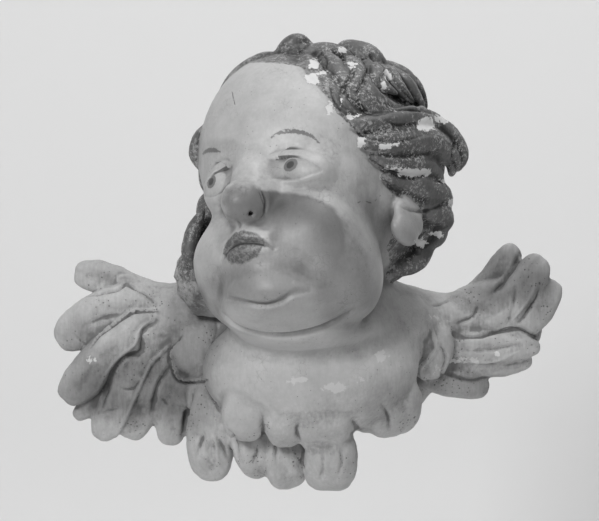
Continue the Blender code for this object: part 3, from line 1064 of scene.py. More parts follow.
@dataclass
class Face:
    """Strokes on the face on the head's axes, for the left half: points, half width, depth and gouge.

    The lips' outline and the line between them are seen from the face's own front.
    """

    strokes: tuple[Row, ...] = (
        (((0, -90, -75.5), (9, -86, -75.5), (15, -80, -76.5), (20, -74, -79)), 3.2, 3.0, Gouge.ROUND),
        (((0, -90, -75), (9, -86, -75), (15, -80, -76)), 2.0, 3.4, Gouge.VEE),
        (((10, -84, -37), (14, -82, -43), (13.5, -80, -52)), 2.0, 1.8, Gouge.ROUND),
        (((0, -92, -56), (0, -90, -65)), 2.4, 0.8, Gouge.ROUND),
    )
    lips: tuple[Place, ...] = (
        (-20, -76.5), (-12, -69.5), (-4, -66), (0, -67.5), (4, -66), (12, -69.5), (20, -76.5), (12, -86),
        (0, -89.5), (-12, -86),
    )
    mouth: tuple[Place, ...] = ((-18, -79), (-9, -75.6), (0, -75), (9, -75.6), (17, -78))

    def carve(self, carver: Carver) -> None:
        """Cuts the strokes on both halves.

        Args:
            carver: The carver that holds the skin.
        """
        for points, half_width, depth, gouge in self.strokes:
            points = np.asarray(points, float)
            if points[0, 0] == 0 and points[-1, 0] != 0:
                whole = np.vstack([points[:0:-1] * (-1, 1, 1), points])
                carver.cut(carver.snap(whole), half_width, depth, gouge)
            else:
                carver.cut(carver.snap(points), half_width, depth, gouge)
                if points[-1, 0]:
                    carver.cut(carver.snap(points * (-FAR_SIDE, 1, 1)), half_width, depth, gouge)


# Folds of chin and neck where the camera sees them.
CHIN_FOLD = ((226, 297), (244, 303), (264, 306), (280, 302), (293, 294), (308, 290))
NECK_FOLD = ((222, 314), (236, 326), (256, 333), (285, 336), (312, 331), (334, 322), (352, 311))
FOLD_STROKES: tuple[Row, ...] = (
    (CHIN_FOLD, 4.0, 3.4, Gouge.ROUND),
    (CHIN_FOLD, 2.2, 1.8, Gouge.STEP),
    (NECK_FOLD, 6.0, 4.0, Gouge.ROUND),
    (NECK_FOLD, 2.4, 2.4),
)
# Strokes on hair and feathers where the camera sees them: marks, half width, depth, and gouge if not a vee.
HAIR_STROKES: tuple[Row, ...] = (
    (((371, 63), (366, 77), (359, 92), (361, 106), (369, 114), (383, 113)), 2.6, 2.6),
    (((386, 70), (381, 82), (381, 92)), 2.4, 2.0),
    (((383, 60), (397, 84), (410, 99), (421, 110)), 2.6, 2.6),
    (((402, 60), (414, 70), (421, 89), (428, 110)), 2.4, 2.2),
    (((350, 60), (352, 74), (344, 88), (342, 102), (349, 112)), 2.6, 2.2),
    (((321, 53), (326, 61), (324, 72)), 2.2, 2.0),
    (((338, 46), (343, 58), (346, 68)), 2.2, 1.8),
    (((360, 48), (372, 58), (377, 68)), 2.2, 1.8),
    (((383, 113), (405, 109), (430, 112), (450, 118)), 2.6, 2.4),
    (((386, 121), (397, 125), (416, 124)), 2.0, 1.8),
    (((455, 140), (453, 160), (458, 170)), 2.4, 2.2),
    (((370, 160), (385, 170), (413, 178), (430, 171)), 2.8, 2.8),
    (((383, 180), (392, 190), (404, 198)), 2.0, 1.6),
    (((433, 180), (442, 182), (448, 188)), 2.0, 2.0),
    (((350, 130), (372, 139), (400, 141), (428, 134)), 2.4, 1.4),
    (((362, 150), (388, 156), (420, 155), (444, 148)), 2.4, 1.4),
    (((396, 205), (414, 211), (432, 210), (448, 200)), 2.4, 2.0),
    (((330, 84), (333, 98), (342, 112), (356, 124)), 2.0, 1.4),
)
WING_POCKET = ((181, 338), (172, 351), (171, 362), (174, 371), (179, 379), (188, 381), (207, 379))
FEATHER_STROKES: tuple[Row, ...] = (
    (((88, 296), (104, 293), (117, 290), (128, 285), (148, 297), (155, 305)), 2.8, 2.8),
    (((115, 283), (117, 275), (128, 272)), 1.8, 1.0),
    (((84, 326), (100, 319), (122, 313)), 2.6, 1.6),
    (((90, 347), (98, 337), (110, 328), (125, 316), (135, 311), (157, 311)), 3.2, 3.6, Gouge.STEP),
    (((92, 343), (98, 337), (110, 328), (125, 316), (135, 311), (157, 311)), 2.2, 2.2),
    (((156, 321), (144, 333), (141, 352), (127, 357), (116, 369), (107, 388), (101, 411)),
     3.4, 4.2),
    (((152, 320), (140, 330), (134, 345), (117, 359), (104, 377), (97, 393)), 2.4, -1.8, Gouge.ROUND),
    (((75, 335), (80, 340), (87, 345)), 1.5, 0.9),
    (((170, 344), (152, 362), (144, 377), (127, 414), (116, 437)), 2.6, -2.2, Gouge.ROUND),
    (((121, 389), (132, 388), (144, 379)), 2.0, 1.8),
    (((97, 414), (108, 411), (119, 408)), 2.0, 1.2),
    (((152, 414), (155, 398), (160, 382), (172, 364)), 3.0, 3.4),
    (((162, 399), (165, 402), (168, 406)), 1.6, 1.2),
    (((193, 390), (189, 403), (186, 422), (183, 436)), 3.6, 5.0),
    (WING_POCKET, 3.6, 4.4, Gouge.STEP),
    (WING_POCKET, 2.4, 2.4),
    (((216, 402), (217, 408), (220, 414)), 1.6, 1.8),
    (((520, 256), (513, 268), (505, 278), (500, 286), (492, 294)), 3.6, 5.0),
    (((517, 324), (526, 314), (536, 299), (541, 286)), 2.6, 2.2),
    (((512, 320), (521, 310), (531, 296), (537, 282)), 2.0, -1.4, Gouge.ROUND),
    (((515, 286), (514, 299), (510, 317), (505, 327)), 2.2, 1.4),
    (((452, 334), (462, 337), (480, 336), (497, 332), (514, 329), (523, 330), (535, 337)),
     2.6, 3.4),
    (((462, 361), (478, 362), (497, 361), (519, 352)), 2.0, -1.3, Gouge.ROUND),
    (((470, 351), (495, 349), (525, 343)), 2.0, 1.2),
    (((448, 374), (470, 380), (494, 378)), 2.6, 2.8),
    (((440, 344), (446, 357), (445, 368), (441, 377)), 3.0, 3.0),
    (((431, 327), (436, 346), (431, 357), (421, 369), (425, 382)), 2.8, -1.8, Gouge.ROUND),
    (((478, 306), (472, 317), (457, 323)), 2.4, 2.2),
    (((433, 306), (442, 304), (450, 300)), 2.0, 1.8),
    (((213, 428), (217, 450), (219, 466)), 1.8, -1.6, Gouge.ROUND),
    (((205, 430), (201, 444), (197, 456)), 2.6, 1.8, Gouge.ROUND),
    (((218, 438), (223, 448), (228, 457)), 2.6, 1.8, Gouge.ROUND),
    (((226, 428), (235, 440), (238, 462)), 3.0, 3.6),
    (((256, 444), (256, 452), (254, 464)), 2.6, 1.8, Gouge.ROUND),
    (((275, 446), (276, 454), (277, 466)), 2.6, 1.8, Gouge.ROUND),
    (((262, 420), (263, 428), (262, 436)), 2.4, 1.6, Gouge.ROUND),
    (((298, 424), (297, 432), (300, 442)), 2.4, 1.8, Gouge.ROUND),
    (((304, 450), (303, 462), (305, 475)), 2.8, 3.4),
    (((322, 456), (323, 468), (320, 481)), 2.4, 1.4, Gouge.ROUND),
    (((340, 450), (342, 462), (338, 476)), 2.4, 1.4, Gouge.ROUND),
    (((352, 420), (357, 428), (360, 438)), 2.8, 2.4),
    (((382, 404), (388, 416), (389, 430)), 2.4, 1.6, Gouge.ROUND),
)


@dataclass
class Marks:
    """Painted and worn places, and painted shade, where the camera sees them.

    The blush ends softly past three lines of the picture: 0 for one across or 1 for one down, where the
    softening starts and where it is full, and its share; part of the blush is painted shade, the nose's
    shadow on the cheek and the darker lower cheek and jaw. Soot, chips and repairs are ovals: middle, half
    width and half height, and for soot how much it darkens; some soot ovals are old dirt on wings and breast,
    and some are painted shade under the chin, along cheek and jaw, beside the nose, in the gap between head
    and wing, and on the shoulder under the head.
    """

    eyes: tuple[Place, Place] = ((295, 165), (219, 172))
    mouth: Place = (249, 240)
    eye_reach: float = 34
    mouth_reach: float = 32
    flesh: tuple[Place, ...] = (
        (205, 300), (214, 321), (218, 336), (225, 351), (226, 364), (221, 382), (222, 394), (222, 410),
        (228, 430), (243, 438), (258, 431), (264, 418), (285, 416), (299, 416), (316, 399), (327, 396),
        (351, 382), (375, 370), (393, 355), (412, 342), (429, 327), (437, 308), (448, 298), (440, 262),
        (205, 262),
    )
    # Blush over nose and cheek, partly painted shade: the nose's shadow on the cheek and the darker lower
    # cheek and jaw.
    blush_and_shade: tuple[Place, ...] = (
        (221, 204), (226, 189), (240, 182), (254, 184), (262, 190), (272, 191), (290, 193), (306, 195),
        (321, 200), (334, 208), (344, 220), (352, 240), (356, 262), (352, 300), (325, 326), (285, 312),
        (276, 270), (268, 232), (250, 226), (228, 222),
    )
    blush_and_shade_top: tuple[Place, ...] = (
        (228, 204), (240, 194), (262, 192), (272, 191), (290, 193), (306, 195), (321, 200), (332, 208),
        (338, 216),
    )
    blush_and_shade_soft: tuple[Row, ...] = ((0, 324, 350, 0.9), (0, 264, 250, 0.7), (1, 240, 262, 0.85))
    # Old dirt on wings and breast, and painted shade under the chin, along cheek and jaw, beside the nose, in
    # the gap between head and wing and on the shoulder under the head.
    soot_and_shade: tuple[Row, ...] = (
        (135, 385, 55, 40, 0.5), (193, 330, 34, 50, 0.35), (188, 400, 30, 40, 0.35), (85, 395, 30, 26, 0.35),
        (510, 275, 42, 34, 0.52), (468, 386, 44, 14, 0.3), (395, 405, 34, 24, 0.2), (370, 236, 26, 32, 0.22),
        (300, 318, 56, 12, 0.12), (78, 345, 18, 26, 0.3), (105, 262, 26, 16, 0.1), (478, 300, 26, 14, 0.3),
        (540, 292, 20, 32, 0.3), (95, 318, 34, 18, 0.15), (348, 296, 36, 46, 0.4), (338, 246, 26, 26, 0.14),
        (262, 285, 64, 30, 0.4), (308, 212, 34, 16, 0.15), (405, 228, 18, 24, 0.35), (198, 306, 9, 20, 0.5),
        (400, 310, 34, 26, 0.15),
    )
    brows: tuple[Row, ...] = (
        ((269, 139), (279, 133), (291, 131), (304, 133), (313, 137), (319, 143)),
        ((203, 154), (207, 151), (213, 150), (220, 152)),
    )
    chips: tuple[Row, ...] = (
        (314, 64, 5.5, 5), (312, 79, 6.5, 6), (323, 73, 4, 2.5), (342, 50, 5, 3), (353, 65, 5, 2.5),
        (426, 124, 8.5, 6.5), (442, 119, 8, 4), (362, 143, 5, 6), (385, 146, 7, 2.5), (396, 144, 5, 1.6),
        (413, 172, 15, 4.5), (394, 169, 8, 2), (453, 203, 5, 4), (435, 234, 8, 2.5), (421, 243, 5.5, 5),
        (387, 76, 3, 7), (384, 86, 2.5, 6), (353, 116, 5, 2), (341, 101, 1.6, 5), (444, 181, 6, 2),
        (330, 108, 4, 6), (90, 360, 4, 3), (498, 354, 4, 3),
    )
    repairs: tuple[Row, ...] = (
        (336, 388, 14, 4.5), (360, 380, 6.5, 4), (381, 356, 8, 6), (300, 380, 8, 3), (440, 318, 7, 4),
        (436, 366, 5, 8), (466, 360, 12, 3),
    )
    cracks: tuple[Row, ...] = (
        ((357, 203), (364, 201), (372, 203), (378, 198), (383, 193)),
        ((232, 90), (233, 97), (235, 105)),
        ((258, 190), (262, 200), (265, 211), (261, 218)),
        ((316, 397), (322, 396), (330, 397)),
        ((500, 330), (512, 327), (528, 333), (537, 337)),
    )


@dataclass(frozen=True)
class Coats:
    """Where the gesso lies thick and where hand work shows.

    A range goes from none to full: to the side of the plaque's middle, down from its origin, in towards the
    head, above the hairline, or on the head's own axes. A coat has its strength, how many times it is gone
    over, and how thick it gets. Lumps have their size, their height and a seed.
    """

    middle: float = -6
    wing_root: Place = (62, 80)
    wing_top: Place = (-45, -30)
    wing: Place = (120, 130)
    breast: Place = (25, 45)
    feather_coat: tuple[float, int, float] = (0.8, 42, 6.0)
    head: Place = (-34, -26)
    hair: Place = (-2, 4)
    lock_coat: tuple[float, int, float] = (0.7, 14, 3.5)
    face_front: float = -25
    face_low: Place = (-108, -100)
    jaw: Place = (80, 88)
    cheek: Place = (62, 70)
    cheek_side: Place = (20, 26)
    face_coat: tuple[float, int, float] = (0.9, 48, 3.5)
    worked_wing: Place = (70, 95)
    worked_breast: Place = (40, 75)
    worked_trunk: Place = (20, 60)
    worked_locks: float = 0.45
    lumps: tuple[Row, ...] = ((11, 0.8, 3.1), (4, 0.3, 7.7))

    def on_feathers(self, points: np.ndarray) -> np.ndarray:
        """How thick the gesso is on wings and breast.

        Args:
            points: The skin's points.

        Returns:
            A share for each point.
        """
        aside, down = np.abs(points[:, 0] - self.middle), -points[:, 2]
        root = ease(aside, *self.wing_root) * ease(down, *self.wing_top)
        return np.clip(root + ease(aside, *self.wing) + ease(down, *self.breast), 0, 1)

    def on_face(self, own: np.ndarray) -> np.ndarray:
        """How thick the gesso is on jaw and cheek, which are smooth.

        Args:
            own: The skin's points on the head's axes.

        Returns:
            A share for each point.
        """
        low = ease(own[:, 2], *self.face_low) * (own[:, 1] < self.face_front)
        cheek = ease(-own[:, 2], *self.cheek) * ease(own[:, 0], *self.cheek_side)
        return low * np.maximum(ease(-own[:, 2], *self.jaw), cheek)

    def worked(self, points: np.ndarray, locks: np.ndarray) -> np.ndarray:
        """How strongly hand work shows: on wings, breast and locks, while the face stays even.

        Args:
            points: The skin's points.
            locks: Which of them are on the locks.

        Returns:
            A share for each point.
        """
        down = -points[:, 2]
        trunk = ease(down, *self.worked_trunk) * 0.8 + 0.2
        wings = ease(np.abs(points[:, 0] - self.middle), *self.worked_wing)
        rough = np.maximum(wings, trunk * ease(down, *self.worked_breast))
        return np.maximum(rough, self.worked_locks * locks)


@dataclass
class Plaque:
    """The whole carving in one block, and the fields that its paint follows.

    The skin is fused at the voxel's size and has at most so many triangles, which are finest about eyes and
    mouth. A field reaches so far on either side of its edge. Hair is painted down to a height on the head's
    axes and one on the plaque's.
    """

    voxel: float = 1.15
    triangles: int = 196_000
    fine: float = 0.05
    reach: float = 8.0
    # How far the blush field reaches; the blush is partly painted shade.
    blush_and_shade_reach: float = 30.0
    brow_width: float = 1.7
    pupil_share: float = 0.55
    hair_low: float = -78
    hair_floor: float = 37
    form: Form = field(default_factory=Form)
    hair: Hair = field(default_factory=Hair)
    eye: Eye = field(default_factory=Eye)
    face: Face = field(default_factory=Face)
    marks: Marks = field(default_factory=Marks)
    coats: Coats = field(default_factory=Coats)
    feathers: tuple[Feathers, ...] = (LEFT_WING, RIGHT_WING, BREAST)
    hair_tree: BVHTree = field(init=False)
    feather_tree: BVHTree = field(init=False)

    def outside(self, tree: BVHTree, points: np.ndarray, limit: float = 12.0) -> np.ndarray:
        """How far each point is outside the skin in the tree, up to the limit.

        Args:
            tree: The skin's search tree.
            points: The points.
            limit: The greatest distance that is looked for.

        Returns:
            One distance for each point, below 0 inside.
        """
        result = np.full(len(points), limit)
        for k, point in enumerate(points):
            hit, normal, _, distance = tree.find_nearest(Vector(point), limit)
            if hit is not None:
                result[k] = math.copysign(distance, (Vector(point) - hit).dot(normal))
        return result

    def fuse(self) -> bpy.types.Object:
        """Joins form, locks and feathers into one skin.

        Returns:
            The block.
        """
        form = self.form.build()
        locks = self.hair.build()
        feathers = joined([group.build() for group in self.feathers], "feathers")
        self.hair_tree = skin_tree(locks, get_points(locks))
        self.feather_tree = skin_tree(feathers, get_points(feathers))
        made = joined([form, locks, feathers], "winged_cherub_carving")
        apply_modifier(made, "REMESH", mode="VOXEL", voxel_size=self.voxel * MM)
        drop_hollows(made)
        apply_modifier(made, "SMOOTH", factor=0.5, iterations=2)
        return made

    def held(self, field_values: np.ndarray) -> np.ndarray:
        """A field held to its reach on either side."""
        return np.clip(field_values, -self.reach, self.reach)

    def kinds(self, points: np.ndarray) -> tuple[np.ndarray, np.ndarray]:
        """How far each point is inside the hair, and inside the flesh rather than the feathers.

        Args:
            points: Points of the plaque.

        Returns:
            The two distances of each point.
        """
        form = self.form.distance(points)
        hair = self.outside(self.hair_tree, points)
        feather = self.outside(self.feather_tree, points)
        own = POSE.own(points)
        head = self.form.distance(points, trunk=False)
        ear = np.minimum(*(egg_distance(own, centre, radii) for centre, radii, _ in self.form.features[-2:]))
        near_head = (head < 28) & (own[:, 2] > self.hair_low) & (points[:, 2] > self.hair_floor) & (ear > 2.5)
        scalp = np.where(near_head, self.hair.covers(points), -12)
        hair_field = np.maximum(self.held(np.minimum(form, feather) - hair), self.held(scalp))
        flesh_field = self.held(feather - np.minimum(form, hair))
        chest = self.held(within(VIEW.seen(points), self.marks.flesh) * VIEW.pixel)
        return hair_field, np.where(head > 3, chest, np.maximum(flesh_field, chest))

    def carve(self, made: bpy.types.Object) -> None:
        """Cuts the face, locks and feathers, and gives each its hand-worked skin.

        Args:
            made: The block.
        """
        carver, coats = Carver(made), self.coats
        carver.fill(coats.on_feathers(carver.points), *coats.feather_coat)
        near_head = ease(-self.form.distance(carver.points, trunk=False), *coats.head)
        locks = ease(self.hair.covers(carver.points), *coats.hair) * near_head
        carver.fill(locks, *coats.lock_coat)
        carver.fill(coats.on_face(POSE.own(carver.points)), *coats.face_coat)
        self.eye.carve(carver)
        carver.settle()
        self.face.carve(carver)
        for marks, *how in FOLD_STROKES + HAIR_STROKES + FEATHER_STROKES:
            carver.cut(carver.land(marks), *how)
        set_points(made, carver.points)
        carver.normals = get_normals(made)
        rough = coats.worked(carver.points, locks)
        for lumps in coats.lumps:
            carver.roughen(rough, *lumps)
        carver.points[:, 1] = np.minimum(carver.points[:, 1], 0)
        set_points(made, carver.points)

    def thin(self, made: bpy.types.Object) -> None:
        """Takes out the triangles that flat and unseen places don't need.

        Args:
            made: The block.
        """
        apply_modifier(made, "TRIANGULATE")
        points, normals = get_points(made), get_normals(made)
        seen, own = VIEW.seen(points), POSE.own(points)
        front = (normals[:, 1] < 0.1) & (own[:, 1] < -30)
        eyes = np.minimum(*(np.hypot(*(seen - place).T) for place in self.marks.eyes))
        mouth = np.hypot(*((seen - self.marks.mouth) * (1, 0.8)).T)
        detail = (eyes < self.marks.eye_reach) | (mouth < self.marks.mouth_reach)
        plain = np.where(front & detail, self.fine, 1.0)
        group = made.vertex_groups.new(name="plain")
        for weight in (self.fine, 1.0):
            group.add(np.flatnonzero(plain == weight).tolist(), weight, "REPLACE")
        share = self.triangles / len(made.data.polygons)
        apply_modifier(made, "DECIMATE", ratio=share, vertex_group="plain", vertex_group_factor=1.0)
        made.vertex_groups.clear()

    def keep_in_box(self, made: bpy.types.Object) -> None:
        """Holds the skin inside the frame's own box."""
        low, high = (np.array(corner) / MM for corner in CAD_BOX)
        set_points(made, np.clip(get_points(made), low + 0.02, high))

    def build(self) -> bpy.types.Object:
        """Makes the carving.

        Returns:
            The carving.
        """
        made = self.fuse()
        LOG.info("fused: %d faces", len(made.data.polygons))
        self.carve(made)
        self.thin(made)
        self.keep_in_box(made)
        made.data.shade_smooth()
        self.note_fields(made)
        LOG.info("carved: %d triangles", len(made.data.polygons))
        return made

    def note_fields(self, made: bpy.types.Object) -> None:
        """Writes the fields that the paint follows onto the mesh.

        Args:
            made: The carving.
        """
        points = get_points(made)
        normals = get_normals(made)
        ends, count = get_net(made)
        smooth = points.copy()
        fields: dict[str, np.ndarray] = {}
        for step in range(48):
            smooth = around(smooth, ends, count)
            if step == 5:
                fields["relief_fine"] = ((points - smooth) * normals).sum(1)
        fields["relief_broad"] = ((points - smooth) * normals).sum(1)
        hair, flesh = self.kinds(points)
        fields["hair"], fields["flesh"] = hair, flesh
        facing = normals[:, 1] < 0.05
        fields.update(self.paint_fields(points, VIEW.seen(points), facing, POSE.own(points)))
        for name, value in fields.items():
            attribute = made.data.attributes.new(name, "FLOAT", "POINT")
            attribute.data.foreach_set("value", value.astype(np.float32))

    def spots(self, seen: np.ndarray, facing: np.ndarray, rows: tuple[Row, ...]) -> np.ndarray:
        """How far each point is inside the nearest of some oval places.

        Args:
            seen: Where the camera sees each point.
            facing: Which points face the camera.
            rows: The ovals.

        Returns:
            One distance for each point, below 0 outside.
        """
        best = np.full(len(seen), -self.reach)
        for oval in rows:
            best = np.maximum(best, (1 - off_oval(seen, *oval)) * min(oval[2:]) * VIEW.pixel)
        return np.where(facing, best, -self.reach)

    def paint_fields(
        self, points: np.ndarray, seen: np.ndarray, facing: np.ndarray, own: np.ndarray
    ) -> dict[str, np.ndarray]:
        """The painted marks as fields: lips, brows, irises, blush, soot, losses and cracks, with painted
        shade in the dark lines, the blush and the soot.

        Args:
            points: The skin's points.
            seen: Where the camera sees each.
            facing: Which of them face the camera.
            own: The points on the head's axes.

        Returns:
            One field for each kind of mark.
        """
        fields: dict[str, np.ndarray] = {}
        front = own[:, 1] < -50
        fields["lips"] = np.where(front, self.held(within(own[:, [0, 2]], self.face.lips)), -self.reach)
        brows = np.full(len(points), self.reach)
        for row in self.marks.brows:
            line = smooth_curve(row, np.linspace(0, 1, 20))
            distance, where, _ = to_path(seen, line)
            half = self.brow_width * np.sin(np.pi * np.clip(where, 0.06, 0.94)) ** 0.6
            brows = np.minimum(brows, distance * VIEW.pixel - half)
        fields["brows"] = np.where(facing & front, -brows, -self.reach)
        iris = np.full(len(points), -self.reach)
        pupil = iris.copy()
        for half in (1, -1):
            turn, lift, reach = self.eye.angles(points, half)
            aim = self.eye.iris_turn[0 if half > 0 else 1] * half
            away = np.radians(np.hypot(turn - aim, lift - self.eye.iris_lift)) * self.eye.ball
            inside = np.minimum(self.eye.iris - away, self.eye.opening(turn, lift) - 0.2)
            near = reach < self.eye.ball + 1.2
            iris = np.where(near, np.maximum(iris, inside), iris)
            inside = np.minimum(inside, self.eye.iris * self.pupil_share - away)
            pupil = np.where(near, np.maximum(pupil, inside), pupil)
        fields["iris"], fields["pupil"] = iris, pupil
        fields["dark_side"], fields["dark_near"] = self.dark_lines(points, own)
        # The blush, partly painted shade: the nose's shadow on the cheek and the darker lower cheek and jaw.
        sharp = np.ones(len(points))
        for axis, start, end, share in self.marks.blush_and_shade_soft:
            way = math.copysign(1, end - start)
            sharp *= 1 - share * ease(way * seen[:, axis], way * start, way * end)
        most = self.blush_and_shade_reach
        blush_and_shade = np.clip(within(seen, self.marks.blush_and_shade) * VIEW.pixel * sharp, -most, most)
        fields["blush_and_shade"] = np.where(facing, blush_and_shade, -most)
        fields["blush_and_shade_top"] = to_path(seen, self.marks.blush_and_shade_top)[0] * VIEW.pixel
        fields["soot_and_shade"] = self.soot_and_shade_field(seen)
        fields["chips"] = self.spots(seen, facing, self.marks.chips)
        fields["repairs"] = self.spots(seen, facing, self.marks.repairs)
        fields.update(self.crack_fields(seen, facing))
        return fields

    def dark_lines(self, points: np.ndarray, own: np.ndarray) -> tuple[np.ndarray, np.ndarray]:
        """The dark lines along the upper lids, round the lids and between the lips: paint, and painted shade
        in the lids' crease and edge and in the mouth's opening.

        Args:
            points: The skin's points.
            own: The same points on the head's axes.

        Returns:
            The signed distance to the nearest line, and how far past the line's end each point is.
        """
        side = np.full(len(points), self.reach)
        near = side.copy()
        distance, where, _ = to_path(own[:, [0, 2]], self.face.mouth)
        level = np.interp(own[:, 0], *np.array(self.face.mouth).T)
        close = (own[:, 1] < -55) & (distance < self.reach)
        side = np.where(close, (own[:, 2] - level) * 0.5, side)
        near = np.where(close & (where > 0.01) & (where < 0.99), 0.0, near)
        for half in (1, -1):
            for off, reach in self.eye.lines(points, half):
                closer = (np.abs(off) < np.abs(side)) & (reach < self.reach)
                side = np.where(closer, off, side)
                near = np.where(closer, reach, near)
        return self.held(side), np.clip(near, 0, self.reach)

    def soot_and_shade_field(self, seen: np.ndarray) -> np.ndarray:
        """How much old dirt and painted shade darken each point.

        Args:
            seen: Where the camera sees each point.

        Returns:
            A share for each point, from 0 to 1.
        """
        clear_of_soot_and_shade = np.ones(len(seen))
        for *oval, share in self.marks.soot_and_shade:
            clear_of_soot_and_shade *= 1 - share * ease(-off_oval(seen, *oval), -1.3, -0.5)
        return 1 - clear_of_soot_and_shade

    def crack_fields(self, seen: np.ndarray, facing: np.ndarray) -> dict[str, np.ndarray]:
        """The signed distance to the nearest crack, and how near it is.

        Args:
            seen: Where the camera sees each point.
            facing: Which points face the camera.

        Returns:
            The two fields by name.
        """
        signed = np.full(len(seen), self.reach)
        near = signed.copy()
        for row in self.marks.cracks:
            line = smooth_curve(row, np.linspace(0, 1, 16))
            distance, where, span = to_path(seen, line)
            way = np.diff(line, axis=0)[span]
            offset = seen - line[span]
            side = np.sign(way[:, 0] * offset[:, 1] - way[:, 1] * offset[:, 0])
            open_end = (where <= 0) | (where >= 1)
            distance = distance * VIEW.pixel + np.where(open_end, 1.5, 0)
            closer = distance < near
            near[closer] = distance[closer]
            signed[closer] = (distance * side)[closer]
        return {"crack_side": signed, "crack_near": np.where(facing, near, self.reach)}


class Bench:
    """Lays out shader nodes in a tree."""

    def __init__(self, tree: bpy.types.NodeTree) -> None:
        """Takes the tree that the nodes go into."""
        self.tree = tree

    def put(self, kind: str, inputs: dict[Any, Any] | None = None, **settings: Any) -> bpy.types.Node:
        """Adds one node.

        Args:
            kind: The node's type.
            inputs: A socket or a plain value for each input that isn't left alone.
            **settings: The node's own settings.

        Returns:
            The node.
        """
        node = self.tree.nodes.new(kind)
        for key, value in settings.items():
            setattr(node, key, value)
        for key, value in (inputs or {}).items():
            if isinstance(value, bpy.types.NodeSocket):
                self.tree.links.new(value, node.inputs[key])
            else:
                node.inputs[key].default_value = value
        return node

    def math(self, operation: str, a: Any, b: Any = 0.0, c: Any = 0.0) -> Socket:
        """One step of arithmetic on plain values or sockets."""
        return self.put("ShaderNodeMath", {0: a, 1: b, 2: c}, operation=operation).outputs[0]

    def times(self, a: Any, b: Any) -> Socket:
        """The product of two plain values or sockets."""
        return self.math("MULTIPLY", a, b)

    def mix(self, share: Any, low: Any, high: Any) -> Socket:
        """A value between two others."""
        return self.put("ShaderNodeMix", {0: share, 2: low, 3: high}, data_type="FLOAT").outputs[0]

    def step(self, value: Any, low: Any, high: Any, start: float = 0.0, end: float = 1.0) -> Socket:
        """A soft rise from start to end as the value goes from low to high."""
        inputs = {0: value, 1: low, 2: high, 3: start, 4: end}
        return self.put("ShaderNodeMapRange", inputs, interpolation_type="SMOOTHSTEP").outputs[0]

    def field(self, name: str) -> Socket:
        """A field that the mesh carries."""
        return self.put("ShaderNodeAttribute", attribute_name=name).outputs["Fac"]

    def noise(self, where: Socket, scale: Any, detail: float = 4.0, rough: float = 0.55) -> Socket:
        """Cloudy noise about 0.5."""
        inputs = {"Vector": where, "Scale": scale, "Detail": detail, "Roughness": rough}
        return self.put("ShaderNodeTexNoise", inputs).outputs["Fac"]

    def stretched(self, where: Socket, scale: Place, turn: Place = (0.0, 0.0, 0.0)) -> Socket:
        """The same place, turned and stretched."""
        inputs = {"Vector": where, "Scale": tuple(scale), "Rotation": tuple(turn)}
        return self.put("ShaderNodeMapping", inputs).outputs[0]


def group(
    name: str, inputs: dict[str, float], outputs: Sequence[str]
) -> tuple[bpy.types.NodeTree, Bench, Any, Any]:
    """A new shader node group with named inputs and outputs.

    Args:
        name: The group's name.
        inputs: Each value input and where it starts; Place is always there.
        outputs: The names of its value outputs.

    Returns:
        The group, a bench to lay it out on, its input node and its output node.
    """
    tree = bpy.data.node_groups.new(name, "ShaderNodeTree")
    tree.interface.new_socket("Place", in_out="INPUT", socket_type="NodeSocketVector")
    for key, value in inputs.items():
        tree.interface.new_socket(key, in_out="INPUT", socket_type="NodeSocketFloat").default_value = value
    for key in outputs:
        tree.interface.new_socket(key, in_out="OUTPUT", socket_type="NodeSocketFloat")
    bench = Bench(tree)
    return tree, bench, bench.put("NodeGroupInput"), bench.put("NodeGroupOutput")


